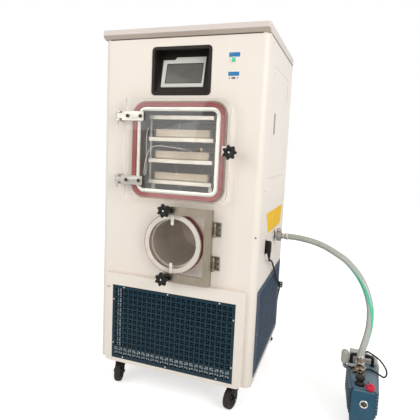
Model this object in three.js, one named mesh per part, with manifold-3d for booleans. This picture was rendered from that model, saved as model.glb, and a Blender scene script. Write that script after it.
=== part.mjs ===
// A pilot freeze dryer on casters: drying chamber above, cold trap below, and its vacuum pump beside it.
// Millimetres. X runs to the machine's right as seen from the front, Y runs back, Z is up.
// The places below are measured from the middle of the cabinet's front face at floor level.
// At the end the group moves so that the origin lies under the middle of the whole machine.
import * as THREE from "three";
import { mergeVertices } from "three/addons/utils/BufferGeometryUtils.js";
import Module from "manifold-3d";

const wasm = await Module();
wasm.setup();

// Driving dimensions. A piece that fits another takes its size and place from that piece's values.
const GAP = 0.3; // between two separate pieces that meet
const RUNNING = 0.5; // between a turning or sliding piece and what holds it
const CASTER = { inset: 85, front: 70, rearInset: 70, trail: 40, wheel: 50, width: 32 };
CASTER.plate = 2 * CASTER.wheel + 22;
const CASTER_TURN = { front_left: 14, front_right: -13, rear_left: 0, rear_right: 0 };
const CHAMBER = { halfWidth: 178, bottom: 996, headroom: 60, corner: 22, depth: 470 };
CHAMBER.wall = 4;
CHAMBER.face = 10;
CHAMBER.rim = 44;
const SHELF = { thick: 17, front: 25, depth: 400, pitch: 96, count: 4 };
SHELF.halfWidth = CHAMBER.halfWidth - 27;
SHELF.lowest = CHAMBER.bottom + 42.5;
CHAMBER.top = CHAMBER.bottom + CHAMBER.headroom + SHELF.pitch * (SHELF.count - 1);
CHAMBER.middle = (CHAMBER.bottom + CHAMBER.top) / 2;
const TRAY = { halfWidth: SHELF.halfWidth - 14.5, front: SHELF.front + 15, height: 36 };
TRAY.depth = SHELF.depth - 35;
TRAY.wall = 1.5;
TRAY.foot = 6;
const GASKET = { halfWidth: CHAMBER.halfWidth + 38.5, corner: 60, band: 19, thick: 12 };
GASKET.halfHeight = (CHAMBER.top - CHAMBER.bottom) / 2 + 38;
const DOOR = { left: -CHAMBER.halfWidth - 70, right: CHAMBER.halfWidth + 67, thick: 22, corner: 45 };
DOOR.bottom = CHAMBER.bottom - 44;
DOOR.top = CHAMBER.top + 53;
const HINGE = { x: DOOR.left - 39, pin: 4, knuckle: 9, strapHeight: 42 };
HINGE.y = -2 * DOOR.thick + 4;
HINGE.heights = [CHAMBER.top - 24, CHAMBER.bottom + 34];
const SCREEN = { left: -142, right: 140, height: 212, corner: 18, lip: 14, tilt: 15 };
SCREEN.bottom = CHAMBER.top + 71.6;
SCREEN.top = SCREEN.bottom + SCREEN.height;
const PANEL = { left: SCREEN.left + 39, width: 204, height: 128, tab: 12, thick: 6, back: 5 };
PANEL.bottom = SCREEN.bottom + 37.4;
const BUTTON = { x: SCREEN.right + 96, z: SCREEN.bottom + 146.4, radius: 10, shaft: 5, travel: 3 };
const CABINET = { width: 770, depth: 720, top: SCREEN.top + 40.4, corner: 30, sheet: 2.5 };
CABINET.bottom = CASTER.plate + 8;
const HALF = CABINET.width / 2;
const SIDE_PANEL_FRONT = 40;
const SIDE_SHEET = 5;
const REAR_FACE = CABINET.depth;
const PANEL_TOP = CABINET.top - GAP;
const CAP = { top: CABINET.top + 38, visor: 22, band: 23, overhang: 2, wall: 6 };
const KNOB = { radius: 31.5, lobes: 7, thick: 20, stud: 5 };
const BOSS = { radius: 11.5, proud: 10 }; // where a knob's stud meets the front panel
const DOOR_KNOB = { x: DOOR.right + 12, z: CHAMBER.middle + 5, face: 2 * DOOR.thick + 41 };
const TRAP = { x: 4, z: CHAMBER.bottom - 241, bore: 105.5, wall: 3, depth: 340, face: 12 };
TRAP.flange = TRAP.bore + 36.5;
const TRAP_SEAL = { outer: TRAP.flange - 4, inner: TRAP.flange - 14, thick: 12 };
const TRAP_DISC = { radius: TRAP.flange - 3.5, thick: 20, back: TRAP.face + 12 };
TRAP_DISC.front = TRAP_DISC.back + TRAP_DISC.thick;
const BRACKET = { left: -38, right: TRAP.x + TRAP.flange + 44, arm: 36, bar: 33, thick: 8, fold: 6 };
BRACKET.front = TRAP_DISC.front + 14;
BRACKET.halfHeight = TRAP_DISC.radius + 31.5;
const TRAP_HINGE = { x: BRACKET.right + 5, y: -26, knuckle: 6.5, pin: 3 };
TRAP_HINGE.heights = [TRAP.z + 78, TRAP.z - 75];
const TRAP_KNOB = { x: TRAP.x - 24, rise: BRACKET.halfHeight - 16, face: BRACKET.front + 46 };
const PLINTH = { halfWidth: HALF - 38, bottom: CABINET.bottom - 2, proud: 24 };
PLINTH.top = TRAP.z - BRACKET.halfHeight - 14;
const GRILLE = { halfWidth: PLINTH.halfWidth - 41.5, bottom: PLINTH.bottom + 19, thick: 4.5, border: 15 };
GRILLE.top = PLINTH.top - 57;
GRILLE.face = PLINTH.proud - 2;
const PORT = { y: 417, z: TRAP.z - 1, rosette: 31, hose: 15, end: HALF + 56 };
const INLET = { y: 190, z: TRAP.z - 65, x: HALF + 18 };
const PUMP = { x: HALF + 470, front: 48, back: 310, top: 209, foot: 34, halfWidth: 61, taper: 14 };
PUMP.fins = 11;
PUMP.pitch = 15;
const PUMP_INLET = { x: PUMP.x - 17, y: 200, top: PUMP.top + 74 };
const MOTOR = { left: PUMP.x - 58, right: PUMP.x + 72, bottom: 92, top: PUMP.top + 17, fan: 55 };
MOTOR.shoulder = PUMP.back + 62;
MOTOR.end = PUMP.back + 130;
const LEAD = { radius: 4.5, coil: 50, coilX: 290, coilY: REAR_FACE + 95 };

// Basic solids, each a closed body that faces out.
function solid(geometry) {
  geometry.deleteAttribute("normal");
  geometry.deleteAttribute("uv");
  const merged = mergeVertices(geometry, 1e-4);
  const position = merged.getAttribute("position");
  const corners = Array.from(merged.index.array);
  const faces = [];
  let volume = 0;
  const a = new THREE.Vector3();
  const b = new THREE.Vector3();
  const c = new THREE.Vector3();
  for (let i = 0; i < corners.length; i += 3) {
    const [p, q, r] = corners.slice(i, i + 3);
    if (p === q || q === r || r === p) continue;
    faces.push(p, q, r);
    a.fromBufferAttribute(position, p);
    b.fromBufferAttribute(position, q);
    c.fromBufferAttribute(position, r);
    volume += a.dot(b.cross(c));
  }
  if (volume < 0) faces.reverse();
  return new wasm.Manifold(
    new wasm.Mesh({ numProp: 3, vertProperties: position.array, triVerts: new Uint32Array(faces) }),
  );
}

// A geometry made along local Z (an extrusion) laid along X, Y or Z.
// Its outline's first number is Y for an extrusion along X, and X for the other two.
function along(axis, geometry) {
  if (axis === "x") {
    const turn = new THREE.Matrix4().makeBasis(
      new THREE.Vector3(0, 1, 0),
      new THREE.Vector3(0, 0, 1),
      new THREE.Vector3(1, 0, 0),
    );
    geometry.applyMatrix4(turn);
  }
  if (axis === "y") geometry.rotateX(Math.PI / 2);
  return geometry;
}

function block(x0, x1, y0, y1, z0, z1) {
  const geometry = new THREE.BoxGeometry(x1 - x0, y1 - y0, z1 - z0);
  return solid(geometry.translate((x0 + x1) / 2, (y0 + y1) / 2, (z0 + z1) / 2));
}

function slab(axis, outline, from, to, arcSteps = 3) {
  const options = { depth: to - from, bevelEnabled: false, curveSegments: arcSteps };
  const geometry = along(axis, new THREE.ExtrudeGeometry(outline, options));
  const start = axis === "y" ? to : from;
  const shift = { x: [start, 0, 0], y: [0, start, 0], z: [0, 0, start] }[axis];
  return solid(geometry.translate(...shift));
}

// A rectangle with round corners. The radii go anticlockwise from the bottom left.
function roundRect(u0, u1, v0, v1, radii) {
  const [bl, br, tr, tl] = Array.isArray(radii) ? radii : [radii, radii, radii, radii];
  const shape = new THREE.Shape();
  shape.moveTo(u0 + bl, v0);
  shape.lineTo(u1 - br, v0);
  if (br) shape.absarc(u1 - br, v0 + br, br, -Math.PI / 2, 0);
  shape.lineTo(u1, v1 - tr);
  if (tr) shape.absarc(u1 - tr, v1 - tr, tr, 0, Math.PI / 2);
  shape.lineTo(u0 + tl, v1);
  if (tl) shape.absarc(u0 + tl, v1 - tl, tl, Math.PI / 2, Math.PI);
  shape.lineTo(u0, v0 + bl);
  if (bl) shape.absarc(u0 + bl, v0 + bl, bl, Math.PI, Math.PI * 1.5);
  return shape;
}

function polygon(points) {
  return new THREE.Shape(points.map(([u, v]) => new THREE.Vector2(u, v)));
}

// A solid of revolution about X, Y or Z. The profile is [radius, distance along the axis].
function turned(axis, at, profile, sides = 32) {
  const points = profile.map(([r, h]) => new THREE.Vector2(r, h));
  points.push(points[0].clone());
  const geometry = new THREE.LatheGeometry(points, sides);
  if (axis === "z") geometry.rotateX(Math.PI / 2);
  if (axis === "x") geometry.rotateZ(-Math.PI / 2);
  return solid(geometry.translate(...at));
}

function rod(axis, at, radius, from, to, sides = 24) {
  return turned(axis, at, [[0, from], [radius, from], [radius, to], [0, to]], sides);
}

function add(first, ...others) {
  return others.reduce((sum, other) => sum.add(other), first);
}

function cut(first, ...others) {
  return others.reduce((rest, other) => rest.subtract(other), first);
}

// A round tube along a smooth line through the given points.
function tube(points, radius, steps, sides) {
  const path = new THREE.CatmullRomCurve3(points.map((point) => new THREE.Vector3(...point)));
  const section = new THREE.Shape().absarc(0, 0, radius, 0, Math.PI * 2);
  const options = { steps, extrudePath: path, curveSegments: sides / 2, bevelEnabled: false };
  return solid(new THREE.ExtrudeGeometry(section, options));
}

const COLOURS = {
  cream: [0xebe1d5, 0.45, 0.1],
  cap: [0xcdc5bc, 0.5, 0.1],
  black: [0x201d1b, 0.5, 0],
  bezel: [0x322b26, 0.5, 0],
  grey: [0xc8c5bc, 0.5, 0],
  steel: [0xb8b2a6, 0.3, 0.9],
  vessel: [0x8c8072, 0.35, 0.9],
  clear: [0xdfe4e0, 0.1, 0],
  red: [0xa54b48, 0.6, 0],
  blue: [0x1e3a4b, 0.5, 0.2],
  teal: [0x2a586c, 0.45, 0.2],
  green: [0x2fae52, 0.4, 0],
  cherry: [0xd7233a, 0.4, 0],
  hose: [0x9fb8ad, 0.3, 0],
  copper: [0xb87348, 0.35, 0.9],
  white: [0xf2efe8, 0.5, 0],
};

const machine = new THREE.Group();

function piece(name, body, colour) {
  const made = body.getMesh();
  const geometry = new THREE.BufferGeometry();
  geometry.setAttribute("position", new THREE.BufferAttribute(made.vertProperties.slice(), 3));
  geometry.setIndex(new THREE.BufferAttribute(made.triVerts.slice(), 1));
  geometry.computeVertexNormals();
  const [color, roughness, metalness] = COLOURS[colour];
  const mesh = new THREE.Mesh(geometry, new THREE.MeshStandardMaterial({ color, roughness, metalness }));
  mesh.name = name;
  machine.add(mesh);
}

// Where the four casters stand.
const CASTER_X = HALF - CASTER.inset;
const CASTER_ROWS = [["front", CASTER.front], ["rear", REAR_FACE - CASTER.rearInset]];

// Cabinet: a welded base, folded panels and a lift-off cap.
function baseFrame() {
  const low = CABINET.bottom;
  const high = low + 28;
  const side = HALF - SIDE_SHEET - GAP;
  const back = REAR_FACE - CABINET.sheet - GAP;
  const front = CABINET.sheet + GAP;
  const rail = 38;
  const tray = block(-side, side, 95, back, low + 4, low + 8);
  const inner = side - CABINET.corner;
  const rails = [
    block(-inner, inner, front, 20, low, low + 12),
    block(-inner, -inner + 8, front, SIDE_PANEL_FRONT + 10, low, low + 12),
    block(inner - 8, inner, front, SIDE_PANEL_FRONT + 10, low, low + 12),
    block(-side, side, back - rail, back, low, high),
    block(-side, -side + rail, SIDE_PANEL_FRONT, back, low, high),
    block(side - rail, side, SIDE_PANEL_FRONT, back, low, high),
  ];
  const post = 30;
  const posts = [];
  for (const x of [-side, side - post]) {
    for (const y of [SIDE_PANEL_FRONT + GAP, back - post]) {
      posts.push(block(x, x + post, y, y + post, low, PANEL_TOP - 12));
    }
  }
  const plates = [];
  for (const x of [-CASTER_X, CASTER_X]) {
    for (const [, y] of CASTER_ROWS) {
      plates.push(block(x - 55, x + 55, y - 45, y + 50, CASTER.plate, low + 6));
    }
  }
  return add(tray, ...rails, ...posts, ...plates);
}

function frontPanel() {
  const { sheet, corner, bottom } = CABINET;
  const outer = roundRect(-HALF, HALF, 0, SIDE_PANEL_FRONT + corner, [corner, corner, 0, 0]);
  const inner = roundRect(
    -HALF + sheet,
    HALF - sheet,
    sheet,
    SIDE_PANEL_FRONT + corner + 10,
    [corner - sheet, corner - sheet, 0, 0],
  );
  const shell = cut(
    slab("z", outer, bottom, PANEL_TOP),
    slab("z", inner, bottom - 1, PANEL_TOP + 1),
    block(-HALF - 1, HALF + 1, SIDE_PANEL_FRONT, 200, bottom - 1, PANEL_TOP + 1),
  );
  const lip = SCREEN.lip - 8;
  const screenHole = roundRect(
    SCREEN.left + lip - RUNNING,
    SCREEN.right - lip + RUNNING,
    SCREEN.bottom + lip - RUNNING,
    SCREEN.top - lip + RUNNING,
    12,
  );
  const edge = CHAMBER.wall + RUNNING;
  const chamberHole = roundRect(
    -CHAMBER.halfWidth - edge,
    CHAMBER.halfWidth + edge,
    CHAMBER.bottom - edge,
    CHAMBER.top + edge,
    CHAMBER.corner + edge,
  );
  const { halfWidth, border } = GRILLE;
  const side = halfWidth - border;
  const airHole = roundRect(-side, side, GRILLE.bottom + border, GRILLE.top - border, 0);
  const open = cut(
    shell,
    slab("y", screenHole, -5, 10),
    slab("y", chamberHole, -5, 10),
    slab("y", airHole, -5, 10),
    rod("y", [TRAP.x, 0, TRAP.z], TRAP.bore + TRAP.wall + RUNNING, -5, 10, 48),
  );
  const places = [
    [DOOR_KNOB.x, DOOR_KNOB.z],
    [TRAP_KNOB.x, TRAP.z + TRAP_KNOB.rise],
    [TRAP_KNOB.x, TRAP.z - TRAP_KNOB.rise],
  ];
  const bosses = places.map(([x, z]) => rod("y", [x, 0, z], BOSS.radius, -BOSS.proud, 8, 20));
  const { x, z, radius } = BUTTON;
  const rim = radius + RUNNING;
  const ring = turned("y", [x, 0, z], [[rim, -4], [rim + 2.5, -4], [rim + 2.5, 1], [rim, 1]], 24);
  const bore = rod("y", [x, 0, z], BUTTON.shaft + 1, -10, 10);
  return cut(add(open, ...bosses, ring), bore);
}

function leftSidePanel() {
  const back = REAR_FACE - CABINET.sheet - GAP;
  return block(-HALF, -HALF + SIDE_SHEET, SIDE_PANEL_FRONT + GAP, back, CABINET.bottom, PANEL_TOP);
}

const ACCESS = { front: 140, back: REAR_FACE - 120, height: 501, ledge: 14, reveal: 1.2 };
ACCESS.top = CABINET.top - 106;
ACCESS.bottom = ACCESS.top - ACCESS.height;
const PULL = { front: ACCESS.front + 69, back: ACCESS.front + 91, bottom: ACCESS.bottom + 204 };
PULL.top = PULL.bottom + 94;
const SIDE_GRILLE = { front: SIDE_PANEL_FRONT + 7, back: REAR_FACE - 12, height: 400, thick: 2.2 };
SIDE_GRILLE.bottom = CABINET.bottom + 30;
SIDE_GRILLE.top = SIDE_GRILLE.bottom + SIDE_GRILLE.height;

function rightSidePanel() {
  const back = REAR_FACE - CABINET.sheet - GAP;
  const plate = block(HALF - SIDE_SHEET, HALF, SIDE_PANEL_FRONT + GAP, back, CABINET.bottom, PANEL_TOP);
  const { front, back: accessBack, bottom, top, ledge } = ACCESS;
  const rebate = block(HALF - 3, HALF + 1, front, accessBack, bottom, top);
  const through = block(0, HALF + 1, front + ledge, accessBack - ledge, bottom + ledge, top - ledge);
  const air = block(
    0,
    HALF + 1,
    SIDE_GRILLE.front + 40,
    SIDE_GRILLE.back - 40,
    SIDE_GRILLE.bottom + 20,
    SIDE_GRILLE.top - 20,
  );
  const port = rod("x", [0, PORT.y, PORT.z], 16, HALF - 85, HALF + 15, 20);
  return cut(plate, rebate, through, air, port);
}

function rightAccessPanel() {
  const { front, back, bottom, top, reveal } = ACCESS;
  const inner = HALF - 3 + GAP;
  const plate = block(inner, HALF, front + reveal, back - reveal, bottom + reveal, top - reveal);
  const around = roundRect(PULL.front - 4, PULL.back + 4, PULL.bottom - 4, PULL.top + 4, 13);
  const cup = slab("x", around, HALF - 20, HALF - 1);
  const pull = slab("x", roundRect(PULL.front, PULL.back, PULL.bottom, PULL.top, 10), HALF - 16, HALF + 1);
  const slot = slab("x", roundRect(back - 31, back - 19, top - 113, top - 14, 5), HALF - 40, HALF + 1);
  return cut(add(plate, cup), pull, slot);
}

function rightSideGrille() {
  const { front, back, bottom, top, thick } = SIDE_GRILLE;
  return block(HALF + GAP, HALF + GAP + thick, front, back, bottom, top);
}

const CLIP = { y: REAR_FACE + 4, z: 400, out: HALF + 9.5 };

function rearPanel() {
  const plate = block(-HALF, HALF, REAR_FACE - CABINET.sheet, REAR_FACE, CABINET.bottom, PANEL_TOP);
  const slots = [];
  for (const middle of [-185, 185]) {
    for (let row = 0; row < 8; row += 1) {
      const z = 220 + row * 36;
      slots.push(block(middle - 120, middle + 120, REAR_FACE - 10, REAR_FACE + 10, z, z + 12));
    }
  }
  const clip = block(HALF - 12, CLIP.out + 13, REAR_FACE - 1, REAR_FACE + 8, CLIP.z - 17, CLIP.z + 15);
  const eye = rod("y", [CLIP.out, 0, CLIP.z - 1], 11, REAR_FACE - 20, REAR_FACE + 20, 20);
  return cut(add(plate, clip), ...slots, eye);
}

function topCap() {
  const { top, visor, band, overhang, wall } = CAP;
  const side = HALF + overhang;
  const back = REAR_FACE + overhang;
  const profile = polygon([
    [-visor, top - band],
    [0, CABINET.top],
    [back, CABINET.top],
    [back, top],
    [-visor, top],
  ]);
  const footprint = roundRect(-side, side, -visor, back, [10, 10, 4, 4]);
  const outer = slab("x", profile, -side, side).intersect(slab("z", footprint, CABINET.top - 1, top + 1));
  const inside = block(-side + wall, side - wall, wall, back - wall, CABINET.top - 5, top - wall);
  return cut(outer, inside);
}

// The plinth frame stands proud of the front and carries the blue grille in a rebate.
function plinthFrame() {
  const { halfWidth, bottom, top, proud } = PLINTH;
  const outer = slab("y", roundRect(-halfWidth, halfWidth, bottom, top, [26, 26, 6, 6]), -proud, -GAP);
  const grille = GRILLE.halfWidth;
  const { border } = GRILLE;
  const ledge = -GRILLE.face + GRILLE.thick + GAP;
  const low = GRILLE.bottom;
  const high = GRILLE.top;
  const rebate = block(-grille - 1, grille + 1, -proud - 1, ledge, low - 1, high + 1);
  const side = grille - border;
  const open = block(-side, side, -proud - 1, 1, low + border, high - border);
  return cut(outer, rebate, open);
}

function frontGrille() {
  const { halfWidth, bottom, top, face, thick } = GRILLE;
  return block(-halfWidth, halfWidth, -face, -face + thick, bottom, top);
}

// Drying chamber: a stainless box with a broad rim, open to the front, and a duct down to the cold trap.
const DUCT = { y: 230, radius: 32, wall: 4, split: CHAMBER.bottom - 91 };

function dryingChamber() {
  const { halfWidth, bottom, top, corner, depth, wall, face, rim } = CHAMBER;
  const mouth = roundRect(-halfWidth, halfWidth, bottom, top, corner);
  const shell = roundRect(-halfWidth - wall, halfWidth + wall, bottom - wall, top + wall, corner + wall);
  const flange = roundRect(-halfWidth - rim, halfWidth + rim, bottom - rim, top + rim, GASKET.corner + 5);
  const body = add(
    slab("y", shell, -face + 1, depth - face + wall),
    slab("y", flange, -face, -GAP, 5),
    rod("z", [TRAP.x, DUCT.y, 0], DUCT.radius, DUCT.split + GAP, bottom),
  );
  return cut(
    body,
    slab("y", mouth, -face - 1, depth - face),
    rod("z", [TRAP.x, DUCT.y, 0], DUCT.radius - DUCT.wall, DUCT.split - 10, bottom + 10),
  );
}

function chamberGasket() {
  const { halfWidth, halfHeight, corner, band, thick } = GASKET;
  const { middle } = CHAMBER;
  const outer = roundRect(-halfWidth, halfWidth, middle - halfHeight, middle + halfHeight, corner);
  const w = halfWidth - band;
  const h = halfHeight - band;
  const inner = roundRect(-w, w, middle - h, middle + h, corner - band);
  const near = -CHAMBER.face - thick + GAP;
  const far = -CHAMBER.face - GAP;
  return cut(slab("y", outer, near, far, 5), slab("y", inner, near - 1, far + 1, 5));
}

// Shelf rack: four heating shelves held by four posts; the lowest stands on feet on the chamber floor.
function shelfTop(level) {
  return SHELF.lowest + level * SHELF.pitch;
}

function shelfRack() {
  const { halfWidth, thick, front, depth, count } = SHELF;
  const plates = [];
  for (let level = 0; level < count; level += 1) {
    const top = shelfTop(level);
    plates.push(block(-halfWidth, halfWidth, front, front + depth, top - thick, top));
  }
  const posts = [];
  const feet = [];
  for (const side of [-1, 1]) {
    for (const y of [front + 35, front + depth - 50]) {
      const x0 = side * (halfWidth - 1);
      const x1 = side * (halfWidth + 7);
      const foot0 = SHELF.lowest - thick;
      posts.push(block(Math.min(x0, x1), Math.max(x0, x1), y - 6, y + 6, foot0, shelfTop(count - 1)));
      const foot = side * (halfWidth - 14);
      feet.push(block(foot - 8, foot + 8, y - 8, y + 8, CHAMBER.bottom + GAP, SHELF.lowest - thick + 1));
    }
  }
  return add(plates[0], ...plates.slice(1), ...posts, ...feet);
}

function tray(level) {
  const { halfWidth, front, depth, height, wall, foot } = TRAY;
  const floor = shelfTop(level) + GAP;
  const inset = 5;
  const back = front + depth;
  const narrow = halfWidth - inset;
  const lower = block(-narrow, narrow, front + inset, back - inset, floor, floor + foot + 1);
  const upper = block(-halfWidth, halfWidth, front, back, floor + foot, floor + height);
  const w = halfWidth - wall;
  const near = front + wall;
  const far = back - wall;
  const rim = floor + height + 1;
  const deep = block(-w + inset, w - inset, near + inset, far - inset, floor + wall, rim);
  const wide = block(-w, w, near, far, floor + foot + wall, rim);
  return cut(add(lower, upper), deep, wide);
}

// Cold trap: a round stainless pot on its side, with a flange at its mouth and the duct's lower half on top.
function coldTrapPot() {
  const { x, z, bore, wall, depth, flange, face } = TRAP;
  const profile = [
    [bore, -face],
    [flange, -face],
    [flange, -GAP],
    [bore + wall, -GAP],
    [bore + wall, depth],
    [0, depth],
    [0, depth - wall],
    [bore, depth - wall],
  ];
  const pot = turned("y", [x, 0, z], profile, 48);
  const neck = rod("z", [x, DUCT.y, 0], DUCT.radius, z + bore, DUCT.split);
  const hole = rod("z", [x, DUCT.y, 0], DUCT.radius - DUCT.wall, z + bore - 40, DUCT.split + 1);
  return cut(add(pot, neck), hole);
}

function trapGasket() {
  const { outer, inner, thick } = TRAP_SEAL;
  const near = -TRAP.face - thick + GAP;
  const far = -TRAP.face - GAP;
  return turned("y", [TRAP.x, 0, TRAP.z], [[inner, near], [outer, near], [outer, far], [inner, far]], 48);
}

function doorHingeBlock(z) {
  const half = HINGE.strapHeight / 2 + 1.5;
  const { x, y, pin } = HINGE;
  const body = block(x - 12, x + 11, y + 13, -GAP, z - half, z + half);
  const ears = [];
  for (const [low, high] of [[z - half, z - half + 10], [z + half - 10, z + half]]) {
    ears.push(block(x - 11, x + 11, y, y + 20, low, high));
    ears.push(rod("z", [x, y, 0], 11, low, high));
  }
  return add(body, ...ears, rod("z", [x, y, 0], pin, z - half - 16, z + half + 3, 16));
}

function doorStrap(z) {
  const half = HINGE.strapHeight / 2;
  const front = -DOOR.thick * 2 - 5;
  const back = -DOOR.thick * 2 - GAP;
  const low = z - half + 9.5;
  const high = z + half - 9.5;
  const near = DOOR.left - 14;
  const plate = slab("y", roundRect(near, DOOR.left + 94, z - half, z + half, 3), front, back, 2);
  const neck = block(HINGE.x, near + 7, front, back, low, high);
  const knuckle = rod("z", [HINGE.x, HINGE.y, 0], HINGE.knuckle, low, high);
  const bolts = [DOOR.left + 15, DOOR.left + 79].map((x) => rod("y", [x, 0, z], 7, front - 5, front + 1, 12));
  const bore = rod("z", [HINGE.x, HINGE.y, 0], HINGE.pin + RUNNING, low - 1, high + 1, 16);
  return cut(add(plate, neck, knuckle, ...bolts), bore);
}

function doorPlate() {
  const { left, right, bottom, top, thick, corner } = DOOR;
  return slab("y", roundRect(left, right, bottom, top, [3, corner, corner, 3]), -thick * 2, -thick, 4);
}

function doorLug() {
  const z = DOOR_KNOB.z + 5;
  const outline = roundRect(DOOR.right - 29, DOOR.right + 31, z - 21, z + 21, [2, 20, 20, 2]);
  const plate = slab("y", outline, -DOOR.thick * 2 - 5, -DOOR.thick * 2 - GAP);
  return cut(plate, rod("y", [DOOR_KNOB.x, 0, DOOR_KNOB.z], 7, -DOOR.thick * 2 - 16, -30, 20));
}

// A star knob on a plain stud that reaches to its boss on the front panel.
function starKnob(x, z, face, neckRadius, neckEnd) {
  const { radius, lobes, thick, stud } = KNOB;
  const points = [];
  const steps = lobes * 5;
  for (let i = 0; i < steps; i += 1) {
    const angle = (i / steps) * Math.PI * 2;
    const r = radius - 4.5 + 4.5 * Math.cos(lobes * angle);
    points.push([x + r * Math.cos(angle), z + r * Math.sin(angle)]);
  }
  return add(
    slab("y", polygon(points), -face, -face + thick),
    rod("y", [x, 0, z], neckRadius, -face + thick - 1, -neckEnd, 20),
    rod("y", [x, 0, z], stud, -neckEnd - 1, -BOSS.proud - RUNNING, 12),
  );
}

// Cold trap door: a clear disc carried by a C-shaped flat bar that swings on two butt hinges.
function trapBracket() {
  const { left, right, halfHeight, arm, bar, front, thick, fold } = BRACKET;
  const z0 = TRAP.z - halfHeight;
  const z1 = TRAP.z + halfHeight;
  const back = -front + thick;
  const parts = [
    block(left, right, -front, back, z1 - arm, z1),
    block(left, right, -front, back, z0, z0 + arm),
    block(right - bar, right, -front, back, z0, z1),
    block(right - fold, right, -front, -30, z0, z1),
    block(TRAP.x - 6, TRAP.x + 5, back - 0.5, -TRAP_DISC.front - GAP, z1 - arm - 48, z1 - arm + 10),
    block(TRAP.x - 6, TRAP.x + 5, back - 0.5, -TRAP_DISC.front - GAP, z0 + arm - 10, z0 + arm + 48),
  ];
  const bores = [];
  for (const z of TRAP_HINGE.heights) {
    for (const [low, high] of [[z - 31, z - 15], [z + 15, z + 31]]) {
      parts.push(block(right - fold, right + 2, -32, -23, low, high));
      parts.push(rod("z", [TRAP_HINGE.x, TRAP_HINGE.y, 0], TRAP_HINGE.knuckle, low, high, 20));
    }
    bores.push(rod("z", [TRAP_HINGE.x, TRAP_HINGE.y, 0], TRAP_HINGE.pin + RUNNING, z - 40, z + 40, 16));
  }
  for (const rise of [-TRAP_KNOB.rise, TRAP_KNOB.rise]) {
    bores.push(rod("y", [TRAP_KNOB.x, 0, TRAP.z + rise], 8, -70, -40, 20));
  }
  return cut(add(parts[0], ...parts.slice(1)), ...bores);
}

function trapHinge(z) {
  const { x, y, knuckle, pin } = TRAP_HINGE;
  return add(
    block(x - 19, x + 24, -3.3, -GAP, z - 32, z + 32),
    block(x - 2.5, x + 2.5, y, -2, z - 13.5, z + 13.5),
    rod("z", [x, y, 0], knuckle - 1, z - 13.5, z + 13.5, 20),
    rod("z", [x, y, 0], pin, z - 33, z + 33, 16),
  );
}

// Touch panel: a light grey plate leaning back inside a black recessed surround.
const LEAN = THREE.MathUtils.degToRad(SCREEN.tilt);

function screenSurround() {
  const { left, right, bottom, top, corner, lip } = SCREEN;
  const deep = 64;
  const inset = lip - 8;
  const face = slab("y", roundRect(left, right, bottom, top, corner), -2.5, -GAP);
  const tub = roundRect(left + inset, right - inset, bottom + inset, top - inset, 12);
  const pocket = roundRect(left + lip, right - lip, bottom + lip, top - lip, 8);
  const behind = PANEL.back + (PANEL.thick + GAP) / Math.cos(LEAN);
  const backAt = (z) => behind + (z - PANEL.bottom) * Math.tan(LEAN);
  const wedge = polygon([
    [-10, bottom],
    [backAt(bottom), bottom],
    [backAt(top), top],
    [-10, top],
  ]);
  const space = slab("y", pocket, -10, deep).intersect(slab("x", wedge, -300, 300));
  return cut(add(face, slab("y", tub, -1, deep)), space);
}

function touchPanel() {
  const { left, width, height, tab, thick, bottom, back } = PANEL;
  const right = left + width;
  const outline = new THREE.Shape();
  outline.moveTo(left + 4, 0);
  outline.lineTo(right - 4, 0);
  outline.absarc(right - 4, 4, 4, -Math.PI / 2, 0);
  outline.lineTo(right, height + tab - 4);
  outline.absarc(right - 4, height + tab - 4, 4, 0, Math.PI / 2);
  outline.lineTo(left + 66, height + tab);
  outline.lineTo(left + 56, height);
  outline.lineTo(left, height);
  const plate = new THREE.ExtrudeGeometry(outline, { depth: thick, bevelEnabled: false, curveSegments: 3 });
  const window = new THREE.BoxGeometry(170, 90, 2).translate(5, 18.5 + 45, thick);
  const placed = [plate, window].map((geometry) => {
    geometry.rotateX(Math.PI / 2 - LEAN);
    const y = back + thick * Math.cos(LEAN);
    const z = bottom - thick * Math.sin(LEAN);
    return solid(geometry.translate(0, y, z));
  });
  return cut(...placed);
}

function startButton() {
  const at = [BUTTON.x, 0, BUTTON.z];
  const back = -BUTTON.travel - 1;
  return add(rod("y", at, BUTTON.radius, -9, back), rod("y", at, BUTTON.shaft, back - 1, 22, 16));
}

// Refrigeration unit on the base tray.
const TRAY_TOP = CABINET.bottom + 8 + GAP;

function compressor() {
  const profile = [
    [0, 0],
    [105, 0],
    [105, 6],
    [90, 6],
    [95, 30],
    [95, 190],
    [80, 225],
    [45, 240],
    [0, 243],
  ];
  return turned("z", [-190, 430, TRAY_TOP], profile, 28);
}

const COIL = { left: -30, right: 310, front: 120, top: 480, bore: 140, fanFront: 176, fanBack: 206 };
const COIL_MIDDLE = { x: (COIL.left + COIL.right) / 2, z: (TRAY_TOP + COIL.top) / 2 };

function condenserCoil() {
  const { left, right, front, top, bore, fanFront, fanBack } = COIL;
  const { x, z } = COIL_MIDDLE;
  const core = block(left, right, front, 168, TRAY_TOP, top);
  const shroud = cut(
    block(left, right, 167, 214, TRAY_TOP, top),
    rod("y", [x, 0, z], bore, 168, 220, 36),
  );
  const arms = [
    block(x - 8, x + 8, 213, 222, TRAY_TOP, top),
    block(left, right, 213, 222, z - 8, z + 8),
  ];
  const motor = rod("y", [x, 0, z], 40, 213, 280, 24);
  const shaft = rod("y", [x, 0, z], 5, fanFront, fanBack + 10, 12);
  return add(core, shroud, ...arms, motor, shaft);
}

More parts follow.
